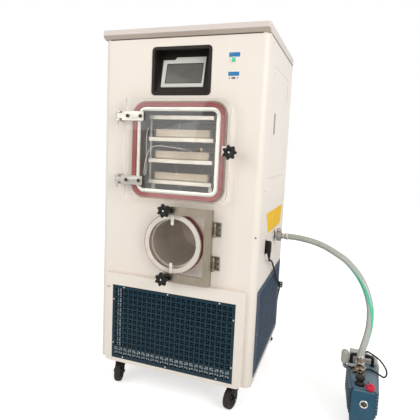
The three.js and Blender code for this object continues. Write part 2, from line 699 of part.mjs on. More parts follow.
function condenserFan() {
  const { bore, fanFront, fanBack } = COIL;
  const { x, z } = COIL_MIDDLE;
  const hub = rod("y", [x, 0, z], 26, fanFront, fanBack, 20);
  const blades = [];
  for (let i = 0; i < 5; i += 1) {
    const blade = new THREE.BoxGeometry(bore - 32, 2, 46);
    blade.rotateX(THREE.MathUtils.degToRad(30)).translate(bore / 2 + 8, 0, 0);
    blade.rotateY((i / 5) * Math.PI * 2).translate(x, (fanFront + fanBack) / 2, z);
    blades.push(solid(blade));
  }
  return cut(add(hub, ...blades), rod("y", [x, 0, z], 5 + RUNNING, fanFront - 5, fanBack + 5, 16));
}

// Vacuum port on the right side, with its clamp, and the mains connector.
function vacuumPort() {
  const inside = HALF - 45;
  const profile = [
    [0, inside],
    [13, inside],
    [13, HALF + GAP],
    [PORT.rosette, HALF + GAP],
    [PORT.rosette, HALF + 5],
    [14, HALF + 7],
    [14, HALF + 19],
    [25, HALF + 20],
    [27, HALF + 23],
    [27, HALF + 35],
    [25, HALF + 38],
    [13, HALF + 39],
    [13, PORT.end],
    [0, PORT.end],
  ];
  return turned("x", [0, PORT.y, PORT.z], profile, 28);
}

function mainsConnector() {
  const outline = roundRect(INLET.y - 22, INLET.y + 10, INLET.z + 18, INLET.z + 80, 7);
  const body = slab("x", outline, HALF + GAP, HALF + 27, 3);
  const tail = solid(new THREE.CylinderGeometry(9, 6.5, 34, 16).rotateX(Math.PI / 2));
  const lean = 26.5;
  const placed = tail.rotate([lean, 0, 0]).translate([INLET.x, INLET.y - 5, INLET.z + 15]);
  return add(body, placed);
}

// Vacuum pump: a finned oil case on feet, with its motor, handle, filter and fittings.
function oilCase() {
  const { x, front, back, top, foot, halfWidth, taper, fins, pitch } = PUMP;
  const nose = halfWidth - taper;
  const cover = slab("y", roundRect(x - nose, x + nose, foot + 4, top - 3, 12), front, front + 16, 4);
  const plan = (near, far, out) =>
    polygon([
      [x - near - out, front + 14],
      [x + near + out, front + 14],
      [x + far + out, back],
      [x - far - out, back],
    ]);
  const waist = foot + 66;
  const section = polygon([
    [x - halfWidth + 20, foot],
    [x + halfWidth - 20, foot],
    [x + halfWidth, waist],
    [x + halfWidth, top],
    [x - halfWidth, top],
    [x - halfWidth, waist],
  ]);
  const wedge = slab("z", plan(nose + 1, halfWidth, 0), foot - 1, top + 1);
  const body = slab("y", section, front + 14, back).intersect(wedge);
  const ribs = [];
  for (let z = foot + 10; z < top - 14; z += pitch) {
    const reach = fins - 0.45 * Math.max(0, waist - z);
    ribs.push(slab("z", plan(nose + 1, halfWidth, reach), z, z + 5));
  }
  const ends = block(x - 100, x + 100, front + 22, back - 36, 0, top);
  const feet = [];
  for (const y of [front + 40, back - 60]) {
    feet.push(block(x - 40, x - 16, y, y + 32, 0, foot + 2));
    feet.push(block(x + 16, x + 40, y, y + 32, 0, foot + 2));
  }
  const gland = block(x + 1, x + 18, back - 79, back - 61, top - 1, top + 14);
  return add(cover, body, add(...ribs).intersect(ends), ...feet, gland);
}

function pumpMotor() {
  const { left, right, bottom, top, shoulder, end, fan } = MOTOR;
  const near = PUMP.back + GAP;
  const x = (left + right) / 2;
  const z = (bottom + top) / 2;
  const housing = slab("y", roundRect(left, right, bottom, top, 26), near, shoulder, 4);
  const profile = [
    [0, shoulder - 1],
    [fan, shoulder - 1],
    [fan, end - 12],
    [fan - 9, end],
    [0, end],
  ];
  const cover = turned("y", [x, 0, z], profile, 28);
  const foot = block(x - 40, x + 40, near + 14, near + 44, 0, bottom + 2);
  const terminals = block(left, left + 43, near + 12, shoulder - 2, top - 30, top + 16);
  return add(housing, cover, foot, terminals);
}

function pumpInlet() {
  const { x, y, top } = PUMP_INLET;
  const base = PUMP.top + GAP;
  const profile = [
    [0, base],
    [26, base],
    [26, base + 6],
    [15, base + 9],
    [15, base + 22],
    [28, base + 24],
    [28, base + 42],
    [13, base + 44],
    [13, top - GAP],
    [0, top - GAP],
  ];
  return turned("z", [x, y, 0], profile, 28);
}

function pumpHandle() {
  const { x, top } = PUMP;
  const base = top + GAP;
  const y0 = PUMP.back - 30;
  const left = x - 58;
  const right = x + 50;
  return add(
    block(left, left + 15, y0, y0 + 20, base, base + 44),
    block(right - 15, right, y0, y0 + 20, base, base + 44),
    block(left, right, y0 + 2, y0 + 18, base + 41, base + 53),
  );
}

function exhaustFilter() {
  const x = PUMP.x - PUMP.halfWidth - 18;
  const y = PUMP.back - 19;
  const z = PUMP.top - 25;
  const canister = [
    [0, z + 18],
    [13, z + 18],
    [17.5, z + 24],
    [17.5, z + 68],
    [13, z + 79],
    [0, z + 83],
  ];
  return add(
    turned("z", [x, y, 0], canister, 24),
    rod("z", [x, y, 0], 9, z - 9, z + 20, 16),
    rod("x", [0, y, z], 9, x, PUMP.x - PUMP.halfWidth - GAP, 16),
  );
}

function oilCap() {
  const base = PUMP.top + GAP;
  const profile = [
    [0, base],
    [13, base],
    [17.5, base + 5],
    [17.5, base + 24],
    [14, base + 29],
    [0, base + 29],
  ];
  return turned("z", [PUMP.x + 24, PUMP.front + 20, 0], profile, 24);
}

function ballastKnob() {
  const base = PUMP.top + GAP;
  const profile = [
    [0, base],
    [20, base],
    [20, base + 10],
    [13, base + 19],
    [20, base + 26],
    [20, base + 36],
    [14, base + 40],
    [0, base + 40],
  ];
  return turned("z", [PUMP.x - 17, PUMP.front + 49, 0], profile, 24);
}

// Casters: a fork that swivels under the base plate, with the wheel trailing behind its axis.
function atCaster(body, name, x, y) {
  return body.rotate([0, 0, CASTER_TURN[name]]).translate([x, y, 0]);
}

function casterFork() {
  const { plate, trail, wheel, width } = CASTER;
  const cheek = width / 2 + 3;
  const profile = [
    [0, 107],
    [30, 107],
    [30, plate - 4],
    [24, plate - GAP],
    [0, plate - GAP],
  ];
  const race = turned("z", [0, 0, 0], profile, 24);
  const outline = polygon([
    [24, 112],
    [-26, 112],
    [-trail - 11, wheel + 3],
    [-trail - 7, wheel - 10],
    [-trail + 8, wheel - 10],
    [-trail + 13, wheel + 4],
  ]);
  return add(
    race,
    block(-cheek - 3, cheek + 3, -26, 24, 107, 112),
    slab("x", outline, cheek, cheek + 3),
    slab("x", outline, -cheek - 3, -cheek),
    rod("x", [0, -trail, wheel], 5, -cheek - 4, cheek + 4, 16),
    rod("x", [0, -trail, wheel], 9, cheek + 2, cheek + 9, 6),
    rod("x", [0, -trail, wheel], 9, -cheek - 9, -cheek - 2, 6),
  );
}

function casterWheel() {
  const { trail, wheel, width } = CASTER;
  const half = width / 2;
  const profile = [
    [5 + RUNNING, -half],
    [16, -half],
    [18, -half + 4],
    [wheel - 6, -half + 1],
    [wheel, -half + 6],
    [wheel, half - 6],
    [wheel - 6, half - 1],
    [18, half - 4],
    [16, half],
    [5 + RUNNING, half],
  ];
  return turned("x", [0, -trail, wheel], profile, 28);
}

// Routes of the flexible pieces, each a list of points chosen by hand.
const HOSE_ROUTE = [
  [PORT.end + GAP, PORT.y, PORT.z],
  [469, 417, 754],
  [504, 413, 754],
  [540, 407, 751],
  [576, 400, 747],
  [611, 391, 740],
  [646, 380, 730],
  [680, 366, 717],
  [715, 351, 701],
  [748, 337, 683],
  [779, 321, 657],
  [808, 304, 626],
  [832, 286, 590],
  [850, 268, 549],
  [862, 253, 507],
  [866, 239, 461],
  [864, 226, 415],
  [856, 214, 370],
  [847, 205, 335],
  [840, 200, 306],
  [PUMP_INLET.x, PUMP_INLET.y, PUMP_INLET.top + 1],
];
const LEAD_ROUTE = [
  [INLET.x, INLET.y + 3, INLET.z - 1],
  [INLET.x, 200, 680],
  [402, 214, 669],
  [401, 240, 661],
  [400, 270, 655],
  [400, 300, 644],
  [400, 335, 623],
  [400, 375, 594],
  [400, 415, 565],
  [399, 460, 536],
  [398, 510, 506],
  [397, 560, 480],
  [396, 610, 456],
  [395.5, 660, 430],
  [394.5, 700, 409],
  [CLIP.out, CLIP.y, CLIP.z - 2],
  [391, 744, 384],
  [385, 757, 352],
  [379, 761, 310],
  [374, 763, 260],
  [369, 765, 205],
  [364, 767, 150],
  [359, 768, 100],
  [356, 770, 62],
  [354, 775, 38],
  [354, 784, 21],
  [354, 796, 12],
  [354, 810, 9.5],
  [354, LEAD.coilY + 8, 9.5],
];
const PUMP_LEAD_ROUTE = [
  [MOTOR.left + 43.5, 346, MOTOR.top + 6],
  [850, 346, 233],
  [862, 342, 244],
  [875, 335, 256],
  [893, 330, 251],
  [910, 325, 244],
  [927, 317, 236],
  [942, 305, 225],
  [952, 291, 215],
  [958, 274, 206],
  [957, 255, 200],
  [951, 239, 197],
  [941, 226, 199],
  [929, 218, 208],
  [915, 217, 215],
  [900, 227, 217],
  [887, 240, 216],
  [PUMP.x + 18.6, 240, 216],
];
const PROBE_ROUTE = [
  [-43, 459.6, 1190],
  [-43, 450, 1190],
  [-52, 443, 1191],
  [-75, 441, 1192],
  [-110, 441, 1192],
  [-148, 438, 1192],
  [-166, 420, 1194],
  [-168, 380, 1200],
  [-168, 300, 1218],
  [-168, 210, 1240],
  [-168, 130, 1262],
  [-168, 70, 1272],
  [-168, 42, 1256],
  [-168, 34, 1215],
  [-168, 36, 1160],
  [-168, 40, 1105],
  [-168, 34, 1068],
  [-168, 20, 1056],
  [-166, 9, 1072],
  [-160, 6, 1110],
  [-150, 6, 1150],
  [-132, 8, 1182],
  [-100, 14, 1192],
  [-62, 22, 1190],
  [-24, 34, 1186],
  [10, 52, 1182],
  [34, 76, 1174],
  [48, 108, 1156],
  [56, 146, SHELF.lowest + SHELF.pitch + 8],
];

function leadCoil() {
  const { radius, coil, coilX, coilY } = LEAD;
  const profile = [
    [coil - 2 * radius, 0.5],
    [coil + 2 * radius, 0.5],
    [coil + 2 * radius, 18],
    [coil - 2 * radius, 18],
  ];
  return turned("z", [coilX, coilY, 0], profile, 32);
}

// The plug lies where the lead's last turn leaves the coil.
function mainsPlug() {
  const { radius, coil, coilX, coilY } = LEAD;
  const outer = coil + 2 * radius;
  const turn = coil + radius;
  const relief = 7;
  const x = coilX - Math.sqrt(outer ** 2 - (turn - relief) ** 2) - GAP;
  const y = coilY + turn;
  const body = block(x - 44, x - 12, y - 14, y + 14, 0.5, 26);
  const neck = rod("x", [0, y, 13.5], relief, x - 13, x, 16);
  const pins = [-9.5, 9.5].map((side) => rod("x", [0, y + side, 13], 2.4, x - 62, x - 43, 12));
  return add(body, neck, ...pins);
}

piece("base_frame", baseFrame(), "grey");
piece("front_panel", frontPanel(), "cream");
piece("left_side_panel", leftSidePanel(), "cream");
piece("right_side_panel", rightSidePanel(), "cream");
piece("right_access_panel", rightAccessPanel(), "cream");
piece("right_side_grille", rightSideGrille(), "blue");
piece("rear_panel", rearPanel(), "cream");
piece("top_cap", topCap(), "cap");
piece("plinth_frame", plinthFrame(), "cream");
piece("front_grille", frontGrille(), "blue");
piece("drying_chamber", dryingChamber(), "vessel");
piece("chamber_gasket", chamberGasket(), "red");
piece("shelf_rack", shelfRack(), "steel");
["tray_lower", "tray_middle", "tray_upper"].forEach((name, level) => piece(name, tray(level), "steel"));
piece("cold_trap_pot", coldTrapPot(), "vessel");
piece("trap_gasket", trapGasket(), "red");
["upper", "lower"].forEach((place, i) => {
  piece(`door_hinge_block_${place}`, doorHingeBlock(HINGE.heights[i]), "steel");
  piece(`door_strap_${place}`, doorStrap(HINGE.heights[i]), "steel");
  piece(`trap_hinge_${place}`, trapHinge(TRAP_HINGE.heights[i]), "steel");
  const rise = i === 0 ? TRAP_KNOB.rise : -TRAP_KNOB.rise;
  const knob = starKnob(TRAP_KNOB.x, TRAP.z + rise, TRAP_KNOB.face, 12, BRACKET.front + GAP);
  piece(`trap_knob_${place}`, knob, "black");
});
piece("door_plate", doorPlate(), "clear");
piece("door_lug", doorLug(), "steel");
const lugFace = DOOR.thick * 2 + 5;
piece("door_knob", starKnob(DOOR_KNOB.x, DOOR_KNOB.z, DOOR_KNOB.face, 14, lugFace + GAP), "black");
piece("trap_bracket", trapBracket(), "steel");
const disc = rod("y", [TRAP.x, 0, TRAP.z], TRAP_DISC.radius, -TRAP_DISC.front, -TRAP_DISC.back, 48);
piece("trap_disc", disc, "clear");
piece("hmi_bezel", screenSurround(), "bezel");
piece("hmi_panel", touchPanel(), "grey");
piece("start_button", startButton(), "green");
piece("compressor", compressor(), "black");
piece("condenser_coil", condenserCoil(), "copper");
piece("condenser_fan", condenserFan(), "black");
piece("vacuum_port", vacuumPort(), "steel");
piece("mains_connector", mainsConnector(), "black");
piece("pump_oil_case", oilCase(), "teal");
piece("pump_motor", pumpMotor(), "grey");
piece("pump_inlet", pumpInlet(), "steel");
piece("pump_handle", pumpHandle(), "black");
piece("pump_exhaust_filter", exhaustFilter(), "grey");
piece("pump_oil_cap", oilCap(), "cherry");
piece("pump_ballast_knob", ballastKnob(), "black");
for (const [side, x] of [["left", -CASTER_X], ["right", CASTER_X]]) {
  for (const [end, y] of CASTER_ROWS) {
    const name = `${end}_${side}`;
    piece(`caster_fork_${name}`, atCaster(casterFork(), name, x, y), "black");
    piece(`caster_wheel_${name}`, atCaster(casterWheel(), name, x, y), "black");
  }
}

// The machine stands with the middle of its box on the origin; the lead and its plug don't count in that box.
const box = new THREE.Box3().setFromObject(machine);
piece("vacuum_hose", tube(HOSE_ROUTE, PORT.hose, 26, 12), "hose");
piece("mains_lead", tube(LEAD_ROUTE, LEAD.radius, 60, 8), "black");
piece("mains_lead_coil", leadCoil(), "black");
piece("mains_plug", mainsPlug(), "black");
piece("pump_lead", tube(PUMP_LEAD_ROUTE, 3.75, 24, 8), "black");
piece("probe_lead", tube(PROBE_ROUTE, 1.25, 80, 8), "white");
machine.position.set(-(box.min.x + box.max.x) / 2, -(box.min.y + box.max.y) / 2, 0);

export default machine;
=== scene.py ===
# %% [markdown]
# # A pilot freeze dryer
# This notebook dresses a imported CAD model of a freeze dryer: a cream steel cabinet on casters
# with a clear-doored drying chamber, a cold trap below it, and a vacuum pump that stands
# beside it on a hose. The CAD model gives every real shape, size and joint. Blender adds what
# CAD leaves plain: rounded sheet edges, cut-out grilles, smooth turned parts, screws, cords
# and finishes. The frame is loaded first, because every new piece takes its place from it.

import math

import bmesh
import bpy
import numpy as np
from mathutils import Matrix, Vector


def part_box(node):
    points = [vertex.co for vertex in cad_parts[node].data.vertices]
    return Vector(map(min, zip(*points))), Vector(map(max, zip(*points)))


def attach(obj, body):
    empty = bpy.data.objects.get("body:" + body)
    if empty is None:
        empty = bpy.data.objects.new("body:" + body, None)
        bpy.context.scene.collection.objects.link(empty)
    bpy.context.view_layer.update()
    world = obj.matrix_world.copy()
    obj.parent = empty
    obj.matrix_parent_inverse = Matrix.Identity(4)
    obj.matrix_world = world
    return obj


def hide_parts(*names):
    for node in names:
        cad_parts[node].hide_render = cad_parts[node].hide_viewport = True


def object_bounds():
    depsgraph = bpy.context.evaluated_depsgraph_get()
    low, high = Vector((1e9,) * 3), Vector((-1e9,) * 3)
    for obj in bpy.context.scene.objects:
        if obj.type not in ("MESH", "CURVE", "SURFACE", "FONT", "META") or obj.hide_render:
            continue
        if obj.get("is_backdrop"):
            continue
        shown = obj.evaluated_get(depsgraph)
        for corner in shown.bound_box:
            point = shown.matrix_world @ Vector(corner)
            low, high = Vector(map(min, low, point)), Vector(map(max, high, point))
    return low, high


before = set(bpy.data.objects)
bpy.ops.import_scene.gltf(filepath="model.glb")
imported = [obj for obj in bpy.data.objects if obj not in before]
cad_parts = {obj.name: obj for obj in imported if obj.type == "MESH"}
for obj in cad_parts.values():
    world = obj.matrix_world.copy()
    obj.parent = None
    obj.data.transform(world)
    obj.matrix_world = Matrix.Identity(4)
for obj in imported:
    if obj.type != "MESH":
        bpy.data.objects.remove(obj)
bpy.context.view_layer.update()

# %% [markdown]
# ## Where things are
# The drawing of such a machine is dimensioned in millimetres from the middle of the cabinet's
# front face, at floor level: x to the machine's right, y back, z up. The cap is as wide as the
# cabinet and its visor hangs 22 mm past the front, so the cap's own box gives that point. All
# shapes below are worked out in those millimetres and turned into metres in one function.

# %% Drawing millimetres to metres
MM = 0.001
VISOR = 22 * MM
cap_low, cap_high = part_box("top_cap")
FRONT_MIDDLE = np.array([(cap_low.x + cap_high.x) / 2, cap_low.y + VISOR, 0.0])


def placed(points):
    """Drawing millimetres to metres in the frame: scale, then add the front middle's place."""
    return np.asarray(points, float) * MM + FRONT_MIDDLE


print("front middle at", FRONT_MIDDLE)

# %% [markdown]
# ## The camera
# The camera stands a little to the machine's right, at chest height, and looks slightly down
# at it with a short lens, so the uprights lean together. A camera's matrix is three unit
# columns: its right, its up, and the way it looks, turned round. They follow from a yaw, a
# pitch and a roll. The small lens shift keeps the machine off the middle of the frame.

# %% Camera
CAMERA_PLACE = (714.8, -1766.4, 1188.2)
YAW, PITCH, ROLL = np.radians([19.788, -6.381, 2.378])
FOCAL = 36.193
SHIFT = (0.0402, -0.0358)

look = np.array([-np.sin(YAW) * np.cos(PITCH), np.cos(YAW) * np.cos(PITCH), np.sin(PITCH)])
level = np.cross(look, [0, 0, 1])
level /= np.linalg.norm(level)
above = np.cross(level, look)
side = level * np.cos(ROLL) + above * np.sin(ROLL)
above = above * np.cos(ROLL) - level * np.sin(ROLL)
turn = np.eye(4)
turn[:3, 0], turn[:3, 1], turn[:3, 2] = side, above, -look
turn[:3, 3] = placed(CAMERA_PLACE)
camera = bpy.data.objects.new("camera", bpy.data.cameras.new("camera"))
bpy.context.scene.collection.objects.link(camera)
camera.data.sensor_width = 36
camera.data.lens = FOCAL
camera.data.shift_x, camera.data.shift_y = SHIFT
camera.matrix_world = Matrix(turn.tolist())
bpy.context.scene.camera = camera
print("lens", camera.data.lens, "mm at", tuple(camera.location))

# %% [markdown]
# ## From arrays to a mesh
# Every new shape here is a pair: an array of points, and a list of faces that name points by
# number. Points come from formulas on whole arrays, so a shape of ten thousand points costs
# as little to write as one of ten. One function turns such a pair into a finished piece: it
# merges points that coincide (poles and seams), turns every face outwards, smooths the shading
# except across sharp edges, and hangs the piece on the CAD body that it moves with.


# %% Build a piece
def shade(mesh, sharp):
    """Smooth shading, with every edge that turns more than sharp degrees kept crisp."""
    mesh.polygons.foreach_set("use_smooth", np.ones(len(mesh.polygons), bool))
    mesh.set_sharp_from_angle(angle=math.radians(sharp))


def dress(name, mesh, material, body, replaces=()):
    """Makes the object, gives it its finish, and hangs it on its body."""
    piece = bpy.data.objects.new(name, mesh)
    bpy.context.scene.collection.objects.link(piece)
    mesh.materials.clear()
    mesh.materials.append(material)
    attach(piece, body)
    if replaces:
        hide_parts(*replaces)
    return piece


def round_edges(piece, width, segments=2, angle=38):
    """Rounds the piece's sharp edges with a bevel of that width in millimetres."""
    bevel = piece.modifiers.new("edges", "BEVEL")
    bevel.width = width * MM
    bevel.segments = segments
    bevel.limit_method = "ANGLE"
    bevel.angle_limit = math.radians(angle)
    bevel.harden_normals = True
    return piece


def build(name, shape, material, body, replaces=(), sharp=35, edge=0.0):
    """A piece from (points, faces) in drawing millimetres."""
    points, faces = shape
    mesh = bpy.data.meshes.new(name)
    mesh.from_pydata(placed(points).tolist(), [], [list(face) for face in faces])
    work = bmesh.new()
    work.from_mesh(mesh)
    bmesh.ops.remove_doubles(work, verts=work.verts, dist=2e-6)
    bmesh.ops.recalc_face_normals(work, faces=work.faces)
    work.to_mesh(mesh)
    work.free()
    shade(mesh, sharp)
    piece = dress(name, mesh, material, body, replaces)
    if edge:
        round_edges(piece, edge)
    return piece


def edge_weights(work, width, sharp, curved):
    """How far each edge is rounded, as a share of the widest. A sharp edge gets the given
    width. An edge of a curved wall turns a little and lies between narrow strips: it is
    rounded over almost half a strip, which makes the strips an arc again."""
    wanted = {}
    for edge in work.edges:
        if len(edge.link_faces) != 2:
            continue
        turn = math.degrees(edge.calc_face_angle(0.0))
        if turn > sharp:
            wanted[edge.index] = width * MM
        elif turn > curved:
            strips = [face.calc_area() / edge.calc_length() for face in edge.link_faces]
            wanted[edge.index] = 0.46 * min(strips)
    widest = max(wanted.values(), default=0.0)
    layer = work.edges.layers.float.new("bevel_weight_edge")
    for edge in work.edges:
        edge[layer] = wanted.get(edge.index, 0.0) / widest if widest else 0.0
    return widest


def refined(node, material, body, edge=0.8, sharp=40, curved=5, segments=2):
    """A copy of a CAD node's mesh, merged and cleared of flat inner edges, with its sharp
    edges rounded and its curved walls smoothed, to stand for that node."""
    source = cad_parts[node].data
    work = bmesh.new()
    work.from_mesh(source)
    bmesh.ops.remove_doubles(work, verts=work.verts, dist=2e-6)
    bmesh.ops.dissolve_limit(work, angle_limit=math.radians(0.8), verts=work.verts,
        edges=work.edges)
    work.edges.index_update()
    widest = edge_weights(work, edge, sharp, curved)
    mesh = bpy.data.meshes.new(f"{node}_finished")
    work.to_mesh(mesh)
    work.free()
    shade(mesh, sharp)
    piece = dress(mesh.name, mesh, material, body, [node])
    bevel = piece.modifiers.new("edges", "BEVEL")
    bevel.limit_method = "WEIGHT"
    bevel.width = widest
    bevel.segments = segments
    bevel.harden_normals = True
    return piece


# %% [markdown]
# ## Surfaces on a grid
# Most real parts are one of three surfaces. A turned part is a profile spun about an axis. A
# plate is a stack of outlines, each drawn in a little where the edge is rounded. A cord is a
# circle carried along a line. All three are a grid of points, rows by columns, so they share
# one function that numbers the grid's four-cornered faces.


# %% Grids, turned parts, plates
def laid(u, v, t, axis):
    """Points from three arrays, with t along that axis and u and v across it."""
    return np.stack({"x": (t, u, v), "y": (u, t, v), "z": (u, v, t)}[axis], axis=-1)


def grid_faces(rows, columns, close_rows=False, close_columns=True):
    """The four corners of each cell of a grid whose points are numbered row by row."""
    row, column = np.meshgrid(np.arange(rows if close_rows else rows - 1),
        np.arange(columns if close_columns else columns - 1), indexing="ij")
    next_row, next_column = (row + 1) % rows, (column + 1) % columns
    corners = [row * columns + column, row * columns + next_column,
        next_row * columns + next_column, next_row * columns + column]
    return np.stack(corners, axis=-1).reshape(-1, 4).tolist()


def stacked(outlines, loop=False):
    """A skin over a stack of outlines (levels, points, 3). The stack ends in flat faces, or
    closes on itself when its profile is a loop."""
    levels, around = outlines.shape[:2]
    faces = grid_faces(levels, around, close_rows=loop)
    if not loop:
        faces.append(list(range(around))[::-1])
        faces.append([(levels - 1) * around + i for i in range(around)])
    return outlines.reshape(-1, 3), faces


def joined(*shapes):
    """Several shapes as one list of points and one of faces."""
    points, faces, start = [], [], 0
    for some, these in shapes:
        points.append(np.asarray(some, float).reshape(-1, 3))
        faces += [[start + i for i in face] for face in these]
        start += len(points[-1])
    return np.vstack(points), faces


def moved(shape, by):
    """The same shape at another place."""
    points, faces = shape
    return np.asarray(points, float) + np.asarray(by, float), faces


def eased(line, radius=1.0, steps=3, loop=False):
    """Rounds a line's corners. Near each corner p the line leaves its straight run at a and
    joins the next at b, along (1-t)^2 a + 2t(1-t) p + t^2 b."""
    p = np.asarray(line, float)

    def towards(other):
        gap = other - p
        length = np.maximum(np.linalg.norm(gap, axis=1, keepdims=True), 1e-9)
        return p + gap / length * np.minimum(radius, 0.45 * length)

    a, b = towards(np.roll(p, 1, axis=0)), towards(np.roll(p, -1, axis=0))
    t = np.linspace(0, 1, steps + 1)[:, None, None]
    bends = ((1 - t) ** 2 * a + 2 * t * (1 - t) * p + t**2 * b).transpose(1, 0, 2)
    if loop:
        return bends.reshape(-1, p.shape[1])
    return np.vstack([p[:1], bends[1:-1].reshape(-1, p.shape[1]), p[-1:]])


def turned(profile, axis="z", at=(0, 0, 0), sides=64, loop=False):
    """A profile of (radius r, distance h) spun about an axis: u = r cos a, v = r sin a,
    t = h. A profile that doesn't start and end on the axis is a loop."""
    radius, height = np.asarray(profile, float).T[:, :, None]
    angle = np.linspace(0, 2 * np.pi, sides, endpoint=False)
    u, v = radius * np.cos(angle), radius * np.sin(angle)
    points = laid(u, v, height + 0 * angle, axis) + np.asarray(at, float)
    return points.reshape(-1, 3), grid_faces(len(radius), sides, close_rows=loop)


def round_rect(u0, u1, v0, v1, radii=2.0, steps=8):
    """A rectangle with round corners: at each corner, centre + r (cos a, sin a) for a
    quarter turn. The radii go anticlockwise from the bottom left."""
    bl, br, tr, tl = np.broadcast_to(radii, 4)
    quarter = np.radians(np.linspace(0, 90, steps + 1))
    arcs = []
    for u, v, r, start in (
        (u1 - br, v0 + br, br, -90),
        (u1 - tr, v1 - tr, tr, 0),
        (u0 + tl, v1 - tl, tl, 90),
        (u0 + bl, v0 + bl, bl, 180),
    ):
        a = quarter + math.radians(start)
        arcs.append(np.stack([u + r * np.cos(a), v + r * np.sin(a)], axis=-1))
    return np.concatenate(arcs)


def ring_of(bounds, radii, profile, axis, steps=8, loop=True):
    """A profile of (inset i, place t) carried round a rounded rectangle: one outline for
    each point of the profile, drawn in by i and laid at t."""
    u0, u1, v0, v1 = bounds
    outlines = []
    for inset, t in profile:
        r = np.maximum(np.asarray(radii, float) - inset, 0.05)
        u, v = round_rect(u0 + inset, u1 - inset, v0 + inset, v1 - inset, r, steps).T
        outlines.append(laid(u, v, 0 * u + t, axis))
    return stacked(np.array(outlines), loop)


def plate(u0, u1, v0, v1, t0, t1, axis="y", radii=2.0, edge=0.8, steps=8):
    """A slab with rounded edges: towards each face the outline is drawn in by
    edge (1 - sin a) while it moves by edge (1 - cos a)."""
    a = np.radians(np.linspace(0, 90, 4))
    inset, depth = edge * (1 - np.sin(a)), edge * (1 - np.cos(a))
    near = list(zip(inset, t0 + depth))
    far = list(zip(inset[::-1], t1 - depth[::-1]))
    return ring_of((u0, u1, v0, v1), radii, near + far, axis, steps, loop=False)


# %% [markdown]
# ## Cords are circles carried along a line
# A hose or lead is a circle swept along a route of listed points. The route is made
# smooth with a Catmull-Rom curve, which passes through every point. Two unit vectors across
# the line are carried along it so that they turn as little as they can, and the circle is
# drawn in them. The piece gets its own UV map, round it and along it, for braid and stripes.


# %% Smooth routes and tubes
def smooth(points, per_stretch=8):
    """Between points b and c, with a before and d after, the line is
    0.5 (2b + (c-a)t + (2a-5b+4c-d)t^2 + (3b-a-3c+d)t^3)."""
    p = np.asarray(points, float)
    p = np.vstack([2 * p[0] - p[1], p, 2 * p[-1] - p[-2]])
    a, b, c, d = p[:-3], p[1:-2], p[2:-1], p[3:]
    t = np.linspace(0, 1, per_stretch, endpoint=False)[:, None, None]
    line = 2 * b + (c - a) * t + (2 * a - 5 * b + 4 * c - d) * t**2
    line = 0.5 * (line + (3 * b - a - 3 * c + d) * t**3)
    return np.vstack([line.transpose(1, 0, 2).reshape(-1, 3), p[-2:-1]])


def length_of(line):
    """The length of a line of points."""
    return float(np.linalg.norm(np.diff(line, axis=0), axis=1).sum())


def across(line, up=(0.0, 0.0, 1.0)):
    """Two unit vectors across the line at each of its points, the first carried along from
    up and made square to the line at each step."""
    ahead = np.gradient(line, axis=0)
    ahead /= np.linalg.norm(ahead, axis=1, keepdims=True)
    first, carried = np.empty_like(ahead), np.asarray(up, float)
    for i, way in enumerate(ahead):
        carried = carried - carried @ way * way
        carried = carried / np.linalg.norm(carried)
        first[i] = carried
    return first, np.cross(ahead, first)


def tube(line, radius, sides=12, up=(0.0, 0.0, 1.0)):
    """A round tube: line + r (cos a first + sin a second), with flat ends. The radius may
    change along the line."""
    first, second = across(line, up)
    a = np.linspace(0, 2 * np.pi, sides, endpoint=False)[None, :, None]
    r = np.broadcast_to(radius, len(line))[:, None, None]
    skin = line[:, None] + r * (np.cos(a) * first[:, None] + np.sin(a) * second[:, None])
    return stacked(skin)


def tube_map(mesh, line, sides):
    """The tube's UV map: u goes round it from 0 to 1, v along it in metres. The walls are
    the first faces, four corners each, in the order of grid_faces."""
    run = np.concatenate([[0], np.cumsum(np.linalg.norm(np.diff(line, axis=0), axis=1))])
    row, column = np.divmod(np.arange((len(line) - 1) * sides), sides)
    u = np.stack([column, column + 1, column + 1, column], axis=-1) / sides
    v = run[np.stack([row, row, row + 1, row + 1], axis=-1)] * MM
    values = np.zeros((len(mesh.loops), 2), np.float32)
    values[: u.size] = np.stack([u, v], axis=-1).reshape(-1, 2)
    mesh.uv_layers.new(name="UVMap").data.foreach_set("uv", values.ravel())


def lay_cord(name, line, radius, material, replaces, sides=12, up=(0, 0, 1)):
    """A cord's mesh tube, made without merging so that its UV map keeps its order."""
    points, faces = tube(line, radius, sides, up)
    mesh = bpy.data.meshes.new(name)
    mesh.from_pydata(placed(points).tolist(), [], faces)
    mesh.validate()
    tube_map(mesh, line, sides)
    shade(mesh, 50)
    return dress(name, mesh, material, "machine", replaces)


# %% [markdown]
# ## Colours and shader nodes
# A screen colour is written from 0 to 255, but a shader works in linear light, so each colour
# is converted once. Two small helpers add nodes and link them in one line, which keeps a
# material as readable as a recipe.


# %% Colour and node helpers
def linear(red, green, blue):
    """A screen colour in linear light: c / 12.92 when c is small, and
    ((c + 0.055) / 1.055) ** 2.4 otherwise, with c from 0 to 1."""
    c = np.array([red, green, blue]) / 255
    low, high = c / 12.92, ((c + 0.055) / 1.055) ** 2.4
    return (*np.where(c <= 0.04045, low, high).tolist(), 1.0)


def add_node(tree, kind, inputs=None, **settings):
    """A new node, with its settings, and each input linked to an output or given a value."""
    made = tree.nodes.new(kind)
    for name, value in settings.items():
        setattr(made, name, value)
    for name, value in (inputs or {}).items():
        if isinstance(value, bpy.types.NodeSocket):
            tree.links.new(value, made.inputs[name])
        else:
            made.inputs[name].default_value = value
    return made


def sum_of(tree, operation, *values, clamp=False):
    """One Math node."""
    made = add_node(tree, "ShaderNodeMath", dict(enumerate(values)), operation=operation,
        use_clamp=clamp)
    return made.outputs[0]


def blended(tree, factor, first, second):
    """One Mix node on colours."""
    made = add_node(tree, "ShaderNodeMix", {0: factor, 6: first, 7: second}, data_type="RGBA")
    return made.outputs[2]


